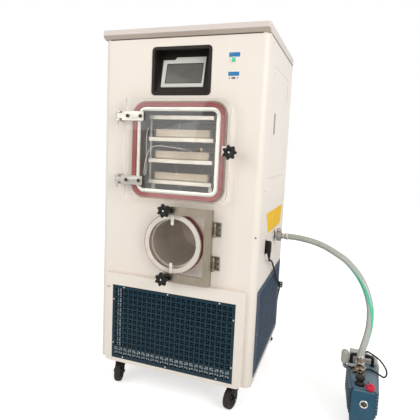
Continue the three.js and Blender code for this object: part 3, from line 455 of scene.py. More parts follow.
def spread(tree, value, low, high, to_low=0.0, to_high=1.0):
    """A value moved from one range to another, and held inside it."""
    inputs = {0: value, 1: low, 2: high, 3: to_low, 4: to_high}
    return add_node(tree, "ShaderNodeMapRange", inputs).outputs[0]


def noise(tree, place, scale, detail=2.0, rough=0.5):
    """One Noise texture's value."""
    inputs = {"Vector": place, "Scale": scale, "Detail": detail, "Roughness": rough}
    return add_node(tree, "ShaderNodeTexNoise", inputs).outputs["Fac"]


def object_place(tree):
    """Where a point is on the object, in metres."""
    return add_node(tree, "ShaderNodeTexCoord").outputs["Object"]


def new_group(name, inputs, outputs):
    """An empty shader group with its named sockets, and its two ends."""
    tree = bpy.data.node_groups.new(name, "ShaderNodeTree")
    for sockets, way in ((inputs, "INPUT"), (outputs, "OUTPUT")):
        for title, kind in sockets:
            tree.interface.new_socket(title, in_out=way, socket_type=f"NodeSocket{kind}")
    ends = add_node(tree, "NodeGroupInput"), add_node(tree, "NodeGroupOutput")
    return tree, ends[0].outputs, ends[1].inputs


# %% [markdown]
# ## Effects that several finishes share
# Four effects are each built once as a node group. **Skin** is what paint, plastic and rubber
# have: a slow drift between two close tones, a fine grain that the light picks out, and a
# gloss that isn't quite even. **Brushing** is the same for metal rubbed in one direction, with
# the pattern stretched along the strokes. **Floor dust** greys whatever is near the floor.
# **Handling** marks where hands and cloths have been, and only changes the gloss.

# %% Skin: paint, plastic and rubber
skin_tree, given, out = new_group("skin", [("Color", "Color"), ("Tint", "Color")]
    + [(name, "Float") for name in ("Patch", "Tinting", "Grain", "Roughness", "Uneven")],
    [("Color", "Color"), ("Roughness", "Float"), ("Height", "Float")])
at = object_place(skin_tree)
patch = noise(skin_tree, at, sum_of(skin_tree, "DIVIDE", 1.0, given["Patch"]), 3.0, 0.6)
patch = spread(skin_tree, patch, 0.35, 0.65)
fine = noise(skin_tree, at, sum_of(skin_tree, "DIVIDE", 1.0, given["Grain"]), 2.0)
tinted = sum_of(skin_tree, "MULTIPLY", patch, given["Tinting"])
skin_tree.links.new(blended(skin_tree, tinted, given["Color"], given["Tint"]), out["Color"])
uneven = sum_of(skin_tree, "MULTIPLY", patch, given["Uneven"])
skin_tree.links.new(sum_of(skin_tree, "ADD", given["Roughness"], uneven, clamp=True),
    out["Roughness"])
skin_tree.links.new(fine, out["Height"])

# %% Brushing: metal rubbed in one direction
brush_tree, given, out = new_group("brushing", [("Color", "Color"), ("Tint", "Color"),
    ("Strokes", "Vector")] + [(name, "Float") for name in ("Tinting", "Roughness",
    "Uneven")], [("Color", "Color"), ("Roughness", "Float"), ("Height", "Float")])
at = object_place(brush_tree)
stretched = add_node(brush_tree, "ShaderNodeVectorMath", {0: at, 1: given["Strokes"]},
    operation="MULTIPLY").outputs[0]
strokes = spread(brush_tree, noise(brush_tree, stretched, 1.0, 4.0, 0.6), 0.3, 0.7)
clouds = spread(brush_tree, noise(brush_tree, at, 14.0, 2.0), 0.35, 0.65)
both = sum_of(brush_tree, "MULTIPLY", sum_of(brush_tree, "ADD", strokes, clouds), 0.5)
brush_tree.links.new(blended(brush_tree, sum_of(brush_tree, "MULTIPLY", both,
    given["Tinting"]), given["Color"], given["Tint"]), out["Color"])
uneven = sum_of(brush_tree, "MULTIPLY", both, given["Uneven"])
brush_tree.links.new(sum_of(brush_tree, "ADD", given["Roughness"], uneven, clamp=True),
    out["Roughness"])
brush_tree.links.new(strokes, out["Height"])

# %% Floor dust: greyer towards the floor
dust_tree, given, out = new_group("floor_dust", [("Color", "Color"), ("Dust", "Color"),
    ("Amount", "Float"), ("Reach", "Float")], [("Color", "Color")])
at = object_place(dust_tree)
height = add_node(dust_tree, "ShaderNodeSeparateXYZ", {0: at}).outputs["Z"]
near = sum_of(dust_tree, "SUBTRACT", 1.0, sum_of(dust_tree, "DIVIDE", height,
    given["Reach"]), clamp=True)
patchy = spread(dust_tree, noise(dust_tree, at, 22.0, 4.0, 0.65), 0.3, 0.7, 0.35, 1.0)
dusty = sum_of(dust_tree, "MULTIPLY", sum_of(dust_tree, "MULTIPLY", near, patchy),
    given["Amount"])
dust_tree.links.new(blended(dust_tree, dusty, given["Color"], given["Dust"]), out[0])

# %% Handling: where hands and cloths have been
handling_tree, given, out = new_group("handling", [("Roughness", "Float"),
    ("Marked", "Float"), ("Size", "Float")], [("Roughness", "Float")])
at = object_place(handling_tree)
smears = noise(handling_tree, at, sum_of(handling_tree, "DIVIDE", 1.0, given["Size"]), 5.0,
    0.7)
smears = spread(handling_tree, smears, 0.5, 0.72)
handling_tree.links.new(sum_of(handling_tree, "ADD", given["Roughness"],
    sum_of(handling_tree, "MULTIPLY", smears, given["Marked"]), clamp=True), out[0])
print(len(bpy.data.node_groups), "shared effects")

# %% [markdown]
# ## The finishes
# Each finish is one call with its own colours and sizes. Sizes are metres on the real part:
# powder coat has an orange peel about a millimetre and a half across, moulded plastic a grain
# of half a millimetre, and both drift in tone over a hand's breadth. Bare steel is metallic, so
# nearly all its look is what it reflects, blurred by the strokes.

# %% Painted, moulded and rubber finishes
DUST = linear(150, 143, 134)


def start_material(name):
    """A node material with its Principled shader."""
    made = bpy.data.materials.new(name)
    made.use_nodes = True
    return made, made.node_tree, made.node_tree.nodes["Principled BSDF"]


def feed(tree, shader, colour, rough, height, depth):
    """Links a colour, a roughness and a height, which becomes a bump of that depth."""
    tree.links.new(colour, shader.inputs["Base Color"])
    tree.links.new(rough, shader.inputs["Roughness"])
    if depth:
        bump = add_node(tree, "ShaderNodeBump", {"Height": height, "Strength": 1.0,
            "Distance": depth})
        tree.links.new(bump.outputs[0], shader.inputs["Normal"])


def use_group(tree, group, **inputs):
    """Places a shared effect. Socket names are title case."""
    named = {name.replace("_", " ").title(): value for name, value in inputs.items()}
    return add_node(tree, "ShaderNodeGroup", named, node_tree=group).outputs


def add_dust(tree, colour, amount, reach):
    """The colour with floor dust on it."""
    return use_group(tree, dust_tree, color=colour, dust=DUST, amount=amount,
        reach=reach)["Color"]


def coated(
    name,
    colour,
    tint,
    roughness,
    patch=0.12,
    tinting=0.6,
    grain=0.0015,
    depth=0.00002,
    uneven=0.06,
    dust=0.0,
    reach=0.5,
    painted_top_sheen=None,
    shaded=None,
    specular=0.5,
    **sockets,
):
    """Paint, plastic or rubber. The colour given for faces that look up is a painted highlight on
    them, and the colour given for faces that look down is painted shade on them."""
    made, tree, shader = start_material(name)
    skin = use_group(tree, skin_tree, color=linear(*colour), tint=linear(*tint), patch=patch,
        tinting=tinting, grain=grain, roughness=roughness, uneven=uneven)
    shade_of = skin["Color"]
    if dust:
        shade_of = add_dust(tree, shade_of, dust, reach)
    if painted_top_sheen or shaded:
        facing_up = add_node(tree, "ShaderNodeSeparateXYZ",
            {0: add_node(tree, "ShaderNodeNewGeometry").outputs["Normal"]}).outputs["Z"]
    # A lighter colour on faces that look up: a painted highlight.
    if painted_top_sheen:
        shade_of = blended(tree, spread(tree, facing_up, 0.75, 0.97), shade_of,
            linear(*painted_top_sheen))
    # A darker colour on faces that look down: painted shade.
    if shaded:
        shade_of = blended(tree, spread(tree, facing_up, -0.45, -0.2, 1.0, 0.0), shade_of,
            linear(*shaded))
    shader.inputs["Specular IOR Level"].default_value = specular
    feed(tree, shader, shade_of, skin["Roughness"], skin["Height"], depth)
    for socket, value in sockets.items():
        shader.inputs[socket.replace("_", " ").title()].default_value = value
    return made


cream_paint = coated("cream_powder_coat", (236, 227, 216), (230, 220, 208), 0.36, patch=0.5,
    depth=0.00001, dust=0.14, reach=0.7)
# The cap's colour is the cream darkened as painted shade, and its downward chamfer gets a darker
# painted shade.
cap_paint = coated("cap_cream_darkened_painted_shade", (216, 206, 198), (208, 197, 188), 0.42, patch=0.4,
    shaded=(188, 176, 164))
frame_paint = coated("grey_frame_paint", (158, 155, 150), (140, 137, 132), 0.5, dust=0.5)
grille_paint = coated("blue_grille_paint", (24, 52, 62), (14, 40, 58), 0.5, patch=0.09,
    grain=0.0008, depth=0.00003, dust=0.06, specular=0.2)
# A pale grey for the returns behind the front fret: painted light showing through its holes.
pale_return_paint = coated("pale_return_painted_light", (188, 194, 194), (132, 144, 150), 0.6,
    patch=0.03, dust=0.3)
# Near black, for the mats behind the frets: painted shade seen through the holes.
shade_mat_paint = coated("near_black_mat_painted_shade", (6, 18, 26), (4, 12, 18), 0.85, specular=0.05)
side_grille_paint = coated("slate_blue_side_grille", (40, 64, 86), (30, 52, 76), 0.5,
    patch=0.1, grain=0.0008, depth=0.00003, dust=0.1, specular=0.25)
# Faces of the pump that look up get a lighter grey-blue: a painted highlight for the sheen on its
# top.
pump_paint = coated("teal_pump_enamel", (32, 82, 104), (24, 70, 90), 0.4, patch=0.05,
    grain=0.002, depth=0.00005, dust=0.12, reach=0.2, painted_top_sheen=(108, 126, 138), specular=0.3)
motor_paint = coated("grey_motor_paint", (186, 186, 180), (170, 170, 164), 0.42, patch=0.05,
    grain=0.0018, depth=0.00004, dust=0.3, reach=0.3)
filter_plastic = coated("warm_grey_filter_plastic", (188, 184, 174), (172, 168, 158), 0.45,
    patch=0.03, grain=0.0008)
oil_amber = coated("oil_behind_glass", (70, 56, 22), (44, 36, 16), 0.2, patch=0.01, depth=0.0)
black_plastic = coated("black_moulded_plastic", (17, 15, 14), (25, 22, 20), 0.32, patch=0.03,
    grain=0.0006, depth=0.00002, uneven=0.1, specular=0.28)
bezel_plastic = coated("dark_surround_plastic", (34, 28, 24), (27, 22, 19), 0.46, patch=0.05,
    grain=0.0006, depth=0.00003, specular=0.22)
light_plastic = coated("light_grey_plastic", (206, 203, 195), (196, 193, 185), 0.4,
    patch=0.06, grain=0.0006)
screen_glass = coated("resting_screen_glass", (88, 87, 81), (98, 96, 90), 0.16, patch=0.07,
    grain=0.001, depth=0.0, uneven=0.08, specular=0.35)
gasket_silicone = coated("red_silicone", (150, 44, 44), (130, 34, 38), 0.5, patch=0.04,
    grain=0.0009, depth=0.00003)
white_silicone = coated("white_silicone", (232, 228, 220), (218, 212, 202), 0.5, patch=0.02)
rim_silicone = coated("milky_rim_silicone", (222, 213, 202), (204, 193, 180), 0.5, patch=0.03)
red_plastic = coated("glossy_red_plastic", (206, 24, 58), (186, 18, 48), 0.24, patch=0.02,
    grain=0.0008)
black_rubber = coated("black_rubber", (16, 15, 15), (24, 22, 21), 0.6, patch=0.02,
    grain=0.0007, depth=0.00004, specular=0.25)
tyre_rubber = coated("grey_black_tyre", (36, 29, 28), (48, 40, 38), 0.55, patch=0.02,
    grain=0.001, depth=0.00005, dust=0.12, reach=0.08, specular=0.25)
yellow_plate = coated("yellow_sheet", (244, 194, 8), (232, 180, 6), 0.5, patch=0.05,
    depth=0.0, specular=0.15)
pull_plastic = coated("grey_pull_plastic", (128, 120, 116), (104, 98, 94), 0.5, patch=0.02)
fork_paint = coated("black_fork_enamel", (22, 18, 17), (34, 29, 27), 0.4, patch=0.03,
    dust=0.12, reach=0.1, specular=0.3)
# A dark brown for the strip under the cap: painted shadow.
shadow_line_paint = coated("painted_shadow_line_brown", (74, 62, 52), (56, 46, 38), 0.85, patch=0.02)
blue_label = coated("blue_foil_label", (30, 120, 176), (24, 106, 160), 0.35, patch=0.01,
    depth=0.0)
print("painted and moulded finishes made")


# %% Metal finishes
def metal(
    name,
    colour,
    tint,
    roughness,
    strokes,
    tinting=0.7,
    uneven=0.12,
    depth=0.000004,
    dust=0.0,
):
    """Bare metal brushed along the direction in which strokes is smallest (cells a metre)."""
    made, tree, shader = start_material(name)
    brushed = use_group(tree, brush_tree, color=linear(*colour), tint=linear(*tint),
        strokes=strokes, tinting=tinting, roughness=roughness, uneven=uneven)
    shade_of = brushed["Color"]
    if dust:
        shade_of = add_dust(tree, shade_of, dust, 0.3)
    feed(tree, shader, shade_of, brushed["Roughness"], brushed["Height"], depth)
    shader.inputs["Metallic"].default_value = 1.0
    return made


brushed_steel = metal("brushed_stainless", (206, 202, 194), (176, 171, 162), 0.26,
    (25, 700, 700))
upright_steel = metal("stainless_brushed_upright", (172, 161, 144), (134, 124, 108), 0.3,
    (700, 700, 25))
vessel_steel = metal("satin_vessel_stainless", (158, 136, 114), (110, 92, 74), 0.36,
    (500, 30, 500))
strap_steel = metal("strap_stainless", (188, 184, 176), (150, 145, 136), 0.3, (30, 500, 500))
rim_steel = metal("bright_rim_stainless", (214, 212, 205), (186, 183, 174), 0.28,
    (30, 400, 400))
pot_steel = metal("hazy_pot_stainless", (228, 217, 205), (198, 186, 173), 0.5, (400, 40, 400))
tray_steel = metal("pressed_tray_stainless", (198, 182, 162), (152, 136, 117), 0.34,
    (25, 700, 700))
# The hinge steel's strong dark blotches are painted reflections.
hinge_steel = metal("hinge_steel_painted_reflections", (168, 163, 148), (98, 92, 80), 0.26,
    (120, 120, 120))
dark_steel = metal("dark_screw_steel", (92, 81, 70), (56, 48, 42), 0.3, (200, 200, 200))
shelf_steel = metal("shelf_stainless", (206, 198, 187), (176, 168, 156), 0.34, (20, 300, 300))
chrome = metal("bright_plating", (226, 224, 220), (205, 202, 196), 0.09, (200, 200, 200),
    uneven=0.06)
zinc = metal("zinc_plate", (186, 184, 178), (150, 148, 142), 0.34, (180, 180, 180), dust=0.4)
brass = metal("brass", (206, 168, 96), (176, 138, 70), 0.24, (300, 300, 300))
# The nickel's dark brown blotches are painted reflections.
nickel = metal("nickel_painted_reflections", (176, 160, 138), (64, 50, 38), 0.16, (90, 90, 90))
cast_aluminium = metal("cast_aluminium", (176, 178, 178), (146, 148, 150), 0.42,
    (400, 400, 400), uneven=0.2)
fin_aluminium = metal("condenser_fins", (168, 158, 146), (112, 104, 96), 0.45, (900, 60, 8),
    uneven=0.2)
print("metal finishes made")

# %% [markdown]
# ## Clear acrylic
# The doors are thick polished acrylic. Light bends through a Principled shader with full
# transmission. A path tracer finds hardly any light through two such faces, so the shadows
# behind a door come out black. The usual cure is to let shadow rays pass: Light Path's Is
# Shadow Ray mixes in a Transparent shader. Handling marks raise the gloss's roughness in
# places, which is what makes clear plastic look like a surface and not like a hole.


# %% Acrylic
def clear(name, colour, roughness, marked, ior):
    """A clear plastic, with marks in its gloss."""
    made, tree, shader = start_material(name)
    marks = use_group(tree, handling_tree, roughness=roughness, marked=marked, size=0.09)
    tree.links.new(marks["Roughness"], shader.inputs["Roughness"])
    shader.inputs["Base Color"].default_value = linear(*colour)
    shader.inputs["Transmission Weight"].default_value = 1.0
    shader.inputs["IOR"].default_value = ior
    see_through = add_node(tree, "ShaderNodeBsdfTransparent")
    see_through.inputs["Color"].default_value = linear(*colour)
    shadow = add_node(tree, "ShaderNodeLightPath").outputs["Is Shadow Ray"]
    mixed = add_node(tree, "ShaderNodeMixShader", {0: shadow, 1: shader.outputs[0],
        2: see_through.outputs[0]})
    end = tree.nodes["Material Output"]
    tree.links.new(mixed.outputs[0], end.inputs["Surface"])
    return made


door_acrylic = clear("door_acrylic", (249, 249, 247), 0.01, 0.05, 1.49)
disc_acrylic = clear("disc_acrylic", (247, 246, 243), 0.08, 0.2, 1.4)
sight_glass = clear("sight_glass", (200, 214, 216), 0.02, 0.05, 1.5)

# %% [markdown]
# ## The start button's lamp
# The button is a green lens over a small lamp: brightest in the middle, where the lamp is.
# The glow is an emission colour that fades with the distance from the button's axis.

# %% Lit button
BUTTON = (236.0, 1562.0)
button_lens, tree, shader = start_material("lit_green_lens")
middle = placed([BUTTON[0], 0, BUTTON[1]])
centred = add_node(tree, "ShaderNodeMapping", {"Vector": object_place(tree),
    "Location": (-middle[0], 0.0, -middle[2])})
flat = add_node(tree, "ShaderNodeVectorMath", {0: centred.outputs[0], 1: (1.0, 0.0, 1.0)},
    operation="MULTIPLY")
reach = add_node(tree, "ShaderNodeVectorMath", {0: flat.outputs[0]},
    operation="LENGTH").outputs["Value"]
glow = spread(tree, reach, 0.002, 0.010, 1.0, 0.15)
lens = blended(tree, glow, linear(18, 130, 96), linear(60, 214, 150))
tree.links.new(lens, shader.inputs["Base Color"])
tree.links.new(lens, shader.inputs["Emission Color"])
shader.inputs["Emission Strength"].default_value = 0.35
shader.inputs["Roughness"].default_value = 0.2

# %% [markdown]
# ## The vacuum hose's wall
# The hose is clear plastic over a spiral braid, with one green tracer stripe. Its own UV map
# carries the pattern: u goes round the hose and v along it in metres. The braid is two sets of
# slanted lines, where the sine of k (u + v / pitch) is near one. The stripe starts on the lower
# side and turns slowly round to the outer side as the hose twists.

# %% Braided hose
hose_wall, tree, shader = start_material("braided_hose")
u, v, _ = add_node(tree, "ShaderNodeSeparateXYZ", {0: add_node(tree, "ShaderNodeUVMap",
    uv_map="UVMap").outputs[0]}).outputs


def slanted(turns, pitch):
    """Lines that wind round the hose: the sine of 2 pi turns (u + v / pitch)."""
    phase = sum_of(tree, "ADD", u, sum_of(tree, "DIVIDE", v, pitch))
    wave = sum_of(tree, "SINE", sum_of(tree, "MULTIPLY", phase, 2 * math.pi * turns))
    return spread(tree, wave, 0.2, 0.95)


braid = sum_of(tree, "MAXIMUM", slanted(11, 0.1), slanted(11, -0.1))
wall = blended(tree, braid, linear(158, 163, 154), linear(192, 197, 189))
HOSE_STRIPE_TURN, HOSE_STRIPE_AT = 1.4, 0.924
turned_u = sum_of(tree, "ADD", sum_of(tree, "SUBTRACT", u, HOSE_STRIPE_AT), sum_of(tree,
    "MULTIPLY", v, HOSE_STRIPE_TURN))
off_stripe = sum_of(tree, "ABSOLUTE", sum_of(tree, "SUBTRACT", turned_u, sum_of(tree,
    "ROUND", turned_u)))
stripe = spread(tree, off_stripe, 0.08, 0.095, 1.0, 0.0)
dirt = spread(tree, noise(tree, object_place(tree), 30.0, 3.0), 0.3, 0.7, 0.0, 0.25)
wall = blended(tree, dirt, wall, linear(128, 130, 120))
wall = blended(tree, stripe, wall, linear(66, 186, 148))
tree.links.new(wall, shader.inputs["Base Color"])
hose_bump = add_node(tree, "ShaderNodeBump", {"Height": braid, "Strength": 1.0,
    "Distance": 0.0004})
tree.links.new(hose_bump.outputs[0], shader.inputs["Normal"])
shader.inputs["Roughness"].default_value = 0.25
shader.inputs["Coat Weight"].default_value = 0.6
print(len(bpy.data.materials), "finishes")

# %% [markdown]
# ## The cords come first
# Three cords hang on the outside: the vacuum hose, the mains lead and the pump's short lead.
# Their routes are listed points, and they are laid before anything else. The hose is stiff
# and springs out of its port before it drops in one long bow to the
# pump. The mains lead falls down the side to a clip, then down the back, and what is spare lies
# coiled behind the machine with its plug beside it.

# %% Vacuum hose
HOSE_ROUTE = [(441.3, 417, 754), (469, 417, 754), (504, 413, 754), (540, 407, 751),
    (576, 400, 747), (611, 391, 740), (646, 380, 730), (680, 366, 717), (715, 351, 701),
    (748, 337, 683), (779, 321, 657), (808, 304, 626), (832, 286, 590), (850, 268, 549),
    (862, 253, 507), (866, 239, 461), (864, 226, 415), (856, 214, 370), (847, 205, 335),
    (840, 200, 306), (838, 200, 284)]
HOSE_RADIUS = 15.0
hose_line = smooth(HOSE_ROUTE, 8)
hose = lay_cord("vacuum_hose_wall", hose_line, HOSE_RADIUS, hose_wall,
    ["vacuum_hose"], sides=24)
print("hose", round(length_of(hose_line)), "mm")

# %% [markdown]
# ## A coil that could be wound
# The spare lead is a bundle of three turns: two side by side on the floor and one on top. Each
# change of row is an ease from one radius or height to the next over a quarter of a turn, and
# the changes are staggered so that no turn passes through the one beside it. Where the lead
# climbs past a turn that is moving in, its height follows a circle one lead across.

# %% Mains lead and its coil
LEAD_RADIUS = 4.5
COIL_MIDDLE = (290.0, 815.0)
OUTER = 54.5
LEAD_ROUTE = [(403, 193, 689), (403, 200, 680), (402, 214, 669), (401, 240, 661),
    (400, 270, 655), (400, 300, 644), (400, 335, 623), (400, 375, 594), (400, 415, 565),
    (399, 460, 536), (398, 510, 506), (397, 560, 480), (396, 610, 456), (395.5, 660, 430),
    (394.5, 700, 409), (394.5, 724, 398), (391, 744, 384), (385, 757, 352), (379, 761, 310),
    (374, 763, 260), (369, 765, 205), (364, 767, 150), (359, 768, 100), (356, 770, 62),
    (354, 775, 38), (354, 784, 21), (354, 796, 12), (354, 810, 9.5)]


def ease(x, start, end):
    """0 before start, 1 after end, and t^2 (3 - 2t) between them."""
    t = np.clip((x - start) / (end - start), 0, 1)
    return t * t * (3 - 2 * t)


first_angle = math.atan2(8, 64)
last_angle = 6 * math.pi + math.pi / 2
angle = np.arange(first_angle, last_angle, math.radians(15))
turns = (angle - first_angle) / (2 * math.pi)
moving_in = ease(turns, 1.0, 1.25)
climb = np.sqrt(1 - (1 - ease(turns, 2.0, 2.25)) ** 2)
radius = 64.5 - 10 * ease(turns, 0, 0.25) - 9 * moving_in + 9 * ease(turns, 2.7, 2.95)
coil_height = 9.5 - 4.3 * ease(turns, 0, 0.25) + 8.8 * climb
coil_points = np.stack([COIL_MIDDLE[0] + radius * np.cos(angle),
    COIL_MIDDLE[1] + radius * np.sin(angle), coil_height], axis=-1)
to_plug = [(x, COIL_MIDDLE[1] + OUTER, 13.5) for x in (286, 275, 265, 255)]
lead_line = np.vstack([smooth(LEAD_ROUTE + [tuple(coil_points[0])], 4)[:-1],
    smooth([*coil_points, *to_plug], 2)])
lead = lay_cord("mains_lead_sheath", lead_line, LEAD_RADIUS, black_rubber,
    ["mains_lead", "mains_lead_coil"], sides=12)
print("mains lead", round(length_of(lead_line)), "mm")

# %% [markdown]
# ## The plug, its strain relief and the tie
# A moulded plug is a rounded block that narrows towards the lead, with two round pins. Its
# strain relief is a taper cut by grooves so that it bends. The tie is a flat strap round all
# the turns. They are pieces of the lead and are named with it.


# %% Plug, strain relief and tie
def ribbed_taper(wide, narrow, length, grooves=6, depth=0.9):
    """A profile of (radius, distance): a cone whose radius dips by depth at each groove."""
    h = np.linspace(0, length, grooves * 8 + 1)
    dips = depth * (0.5 - 0.5 * np.cos(2 * np.pi * grooves * h / length)) ** 3
    r = wide + (narrow - wide) * h / length - dips
    return [(0, 0), *zip(r, h), (0, length)]


plug_y = COIL_MIDDLE[1] + OUTER
pin = [(0, 0), (2.0, 0), (2.4, 0.6), (2.4, 18.0), (0, 18.0)]
plug_body = plate(plug_y - 14, plug_y + 14, 0.5, 26, 210.7, 242.7, "x", 6, 3)
plug = build("mains_plug_body", plug_body, black_plastic, "machine",
    ["mains_plug"])
plug_pins = build("mains_plug_pins", joined(turned(pin, "x", (192.9, plug_y - 9.5, 13), 20),
    turned(pin, "x", (192.9, plug_y + 9.5, 13), 20)), chrome, "machine")
plug_relief = build("mains_plug_strain_relief", turned(ribbed_taper(8.0, 5.2, 30), "x",
    (241.5, plug_y, 13.5), 24), black_rubber, "machine")
tie_profile = [(0, -6), (0, 6), (1.2, 6), (1.2, -6)]
tie_ring = ring_of((-61.2, -38.8, 0.3, 20.6), 7, [(i, y) for i, y in tie_profile], "y", 6)
lead_tie = build("mains_lead_tie", moved(tie_ring, (COIL_MIDDLE[0], COIL_MIDDLE[1], 0)),
    black_rubber, "machine")

# %% Pump lead
PUMP_LEAD_ROUTE = [(840.5, 346, 232), (850, 346, 233), (862, 342, 244), (875, 335, 256),
    (893, 330, 251), (910, 325, 244), (927, 317, 236), (942, 305, 225), (952, 291, 215),
    (958, 274, 206), (957, 255, 200), (951, 239, 197), (941, 226, 199), (929, 218, 208),
    (915, 217, 215), (900, 227, 217), (887, 240, 216), (873.6, 240, 216)]
PUMP_LEAD_RADIUS = 3.75
pump_lead_line = smooth(PUMP_LEAD_ROUTE, 6)
pump_lead = lay_cord("pump_lead_sheath", pump_lead_line, PUMP_LEAD_RADIUS, black_rubber,
    ["pump_lead"])

# %% [markdown]
# ## The product probe
# A thin white lead comes through the chamber's back wall, runs round the shelves and ends in a
# small steel probe that is stood in the product. It shows through the door as a pale thread.

# %% Product probe
PROBE_ROUTE = [(-43, 459.6, 1190), (-43, 450, 1190), (-52, 443, 1191), (-75, 441, 1192),
    (-110, 441, 1192), (-148, 438, 1192), (-166, 420, 1194), (-168, 380, 1200),
    (-168, 300, 1218), (-168, 210, 1240), (-168, 130, 1262), (-168, 70, 1272),
    (-168, 42, 1256), (-168, 34, 1215), (-168, 36, 1160), (-168, 40, 1105), (-168, 34, 1068),
    (-168, 20, 1056), (-166, 9, 1072), (-160, 6, 1110), (-150, 6, 1150), (-132, 8, 1182),
    (-100, 14, 1192), (-62, 22, 1190), (-24, 34, 1186), (10, 52, 1182), (34, 76, 1174),
    (48, 108, 1156), (56, 146, 1142.5)]
PROBE_RADIUS = 1.25
probe_line = smooth(PROBE_ROUTE, 6)
probe_lead = lay_cord("probe_lead_sheath", probe_line, PROBE_RADIUS, white_silicone,
    ["probe_lead"], sides=8)
probe_way = probe_line[-1] - probe_line[-3]
probe_way /= np.linalg.norm(probe_way)
tip_line = probe_line[-1] + probe_way * np.linspace(-2, 16, 7)[:, None]
tip_radius = np.array([0.6, 1.8, 1.8, 1.8, 1.8, 1.6, 0.6])
probe_tip = build("probe_tip", tube(tip_line, tip_radius), chrome, "machine")
for title, line in (("pump lead", pump_lead_line), ("probe lead", probe_line)):
    print(title, round(length_of(line)), "mm")

# %% [markdown]
# ## The cabinet
# The cabinet is folded from sheet steel and powder coated. A fold has a soft edge, and paint
# rounds a cut one, so no edge on it is knife sharp. The CAD nodes have the right shapes with
# knife edges, so each is copied, merged and given a bevel of its own width: wide on the cap's
# fold, narrow on the cut sheet.

# %% Sheet metal
for node, width in (
    ("front_panel", 0.7),
    ("left_side_panel", 1.5),
    ("right_side_panel", 0.9),
    ("right_access_panel", 0.8),
    ("rear_panel", 0.8),
    ("plinth_frame", 3.0),
):
    refined(node, cream_paint, "machine", width, segments=3)
refined("top_cap", cap_paint, "machine", 3.0, segments=3)
# A thin dark strip under the cap's front and side edges is a painted shadow line where the cap
# overhangs.
front_shadow_line = plate(-356, 356, 1664.4, 1667.4, -1.1, -0.05, "y", 1, 0.4, 3)
side_shadow_lines = [plate(34, 716, 1664.8, 1667.2, *sorted((side * 385.05, side * 385.7)), "x", 1,
    0.2, 3) for side in (-1, 1)]
build("cap_painted_shadow_line", joined(front_shadow_line, *side_shadow_lines), shadow_line_paint, "machine")
refined("base_frame", frame_paint, "machine", 1.0)

# %% [markdown]
# ## The cut-out grilles
# The lower front and the lower side are blue sheets with a laser-cut fret of small squares and
# corner brackets. One tile of the fret is eleven strips each way, and a strip is either solid
# or cut depending on both its number across and its number up, so a whole sheet is one grid of
# true and false. Faces are laid where the grid is true, and walls where it changes. A filter
# mat sits behind each sheet, near black as painted shade for the holes. Behind the front one a
# pale return of the panel shows along its foot and its left edge, as painted light for the light
# that shows through the holes there.

# %% Fret pattern and sheets
TILE = 49.2
HALF_STRIPS = np.array([3.2, 4.5, 11.2, 14.3, 20.5, 24.6])
STRIPS = np.concatenate([-HALF_STRIPS[::-1], HALF_STRIPS])
strip = np.arange(11)
small_square = np.isin(strip, [3, 4, 6, 7])
arm = np.isin(strip, [1, 2, 3, 7, 8, 9])
outer_strip = np.isin(strip, [1, 9])
TILE_CUT = (np.outer(small_square, small_square) | np.outer(outer_strip, arm) | np.outer(arm,
    outer_strip))


def fret(u0, u1, v0, v1, start_u, start_v, columns, rows, t0, t1, axis):
    """A sheet with columns by rows tiles cut in it. Its solid squares make the two faces,
    and each change between solid and cut makes a wall."""
    middles = [start + TILE * (np.arange(count) + 0.5) for start,
        count in ((start_u, columns), (start_v, rows))]
    lines_u, lines_v = (np.unique(np.round(np.append((m[:, None] + STRIPS).ravel(), ends),
        3)) for m, ends in zip(middles, ([u0, u1], [v0, v1])))
    solid = np.ones((len(lines_u) - 1, len(lines_v) - 1), bool)
    solid[1:-1, 1:-1] = ~np.tile(TILE_CUT, (columns, rows))
    rows_of, width = len(lines_u), len(lines_v)
    u, v = (grid.ravel() for grid in np.meshgrid(lines_u, lines_v, indexing="ij"))
    points = np.concatenate([laid(u, v, 0 * u + t, axis) for t in (t0, t1)])
    back = rows_of * width
    i, j = np.nonzero(solid)
    corner = i * width + j
    square = np.stack([corner, corner + width, corner + width + 1, corner + 1], axis=-1)
    faces = [square, square[:, ::-1] + back]
    padded = np.pad(solid, 1)
    i, j = np.nonzero(padded[1:, 1:-1] != padded[:-1, 1:-1])
    edge = np.stack([i * width + j, i * width + j + 1], axis=-1)
    faces.append(np.hstack([edge, edge[:, ::-1] + back]))
    i, j = np.nonzero(padded[1:-1, 1:] != padded[1:-1, :-1])
    edge = np.stack([i * width + j, (i + 1) * width + j], axis=-1)
    faces.append(np.hstack([edge, edge[:, ::-1] + back]))
    faces = np.vstack(faces)
    used, numbers = np.unique(faces, return_inverse=True)
    return points[used], numbers.reshape(faces.shape).tolist()


build("front_grille_fret", fret(-305.5, 305.5, 147, 514, -295.2, 158.3, 12, 7, -22, -20,
    "y"), grille_paint, "machine", ["front_grille"], sharp=30)
build("front_grille_mat", joined(plate(-260, 304, 200, 512, -19.2, -17.6, "y", 2, 0.3, 2),
    plate(-304, -279.4, 200, 512, -19.2, -17.6, "y", 2, 0.3, 2), plate(-304, 304, 149, 167.6,
    -19.2, -17.6, "y", 2, 0.3, 2)), shade_mat_paint, "machine")
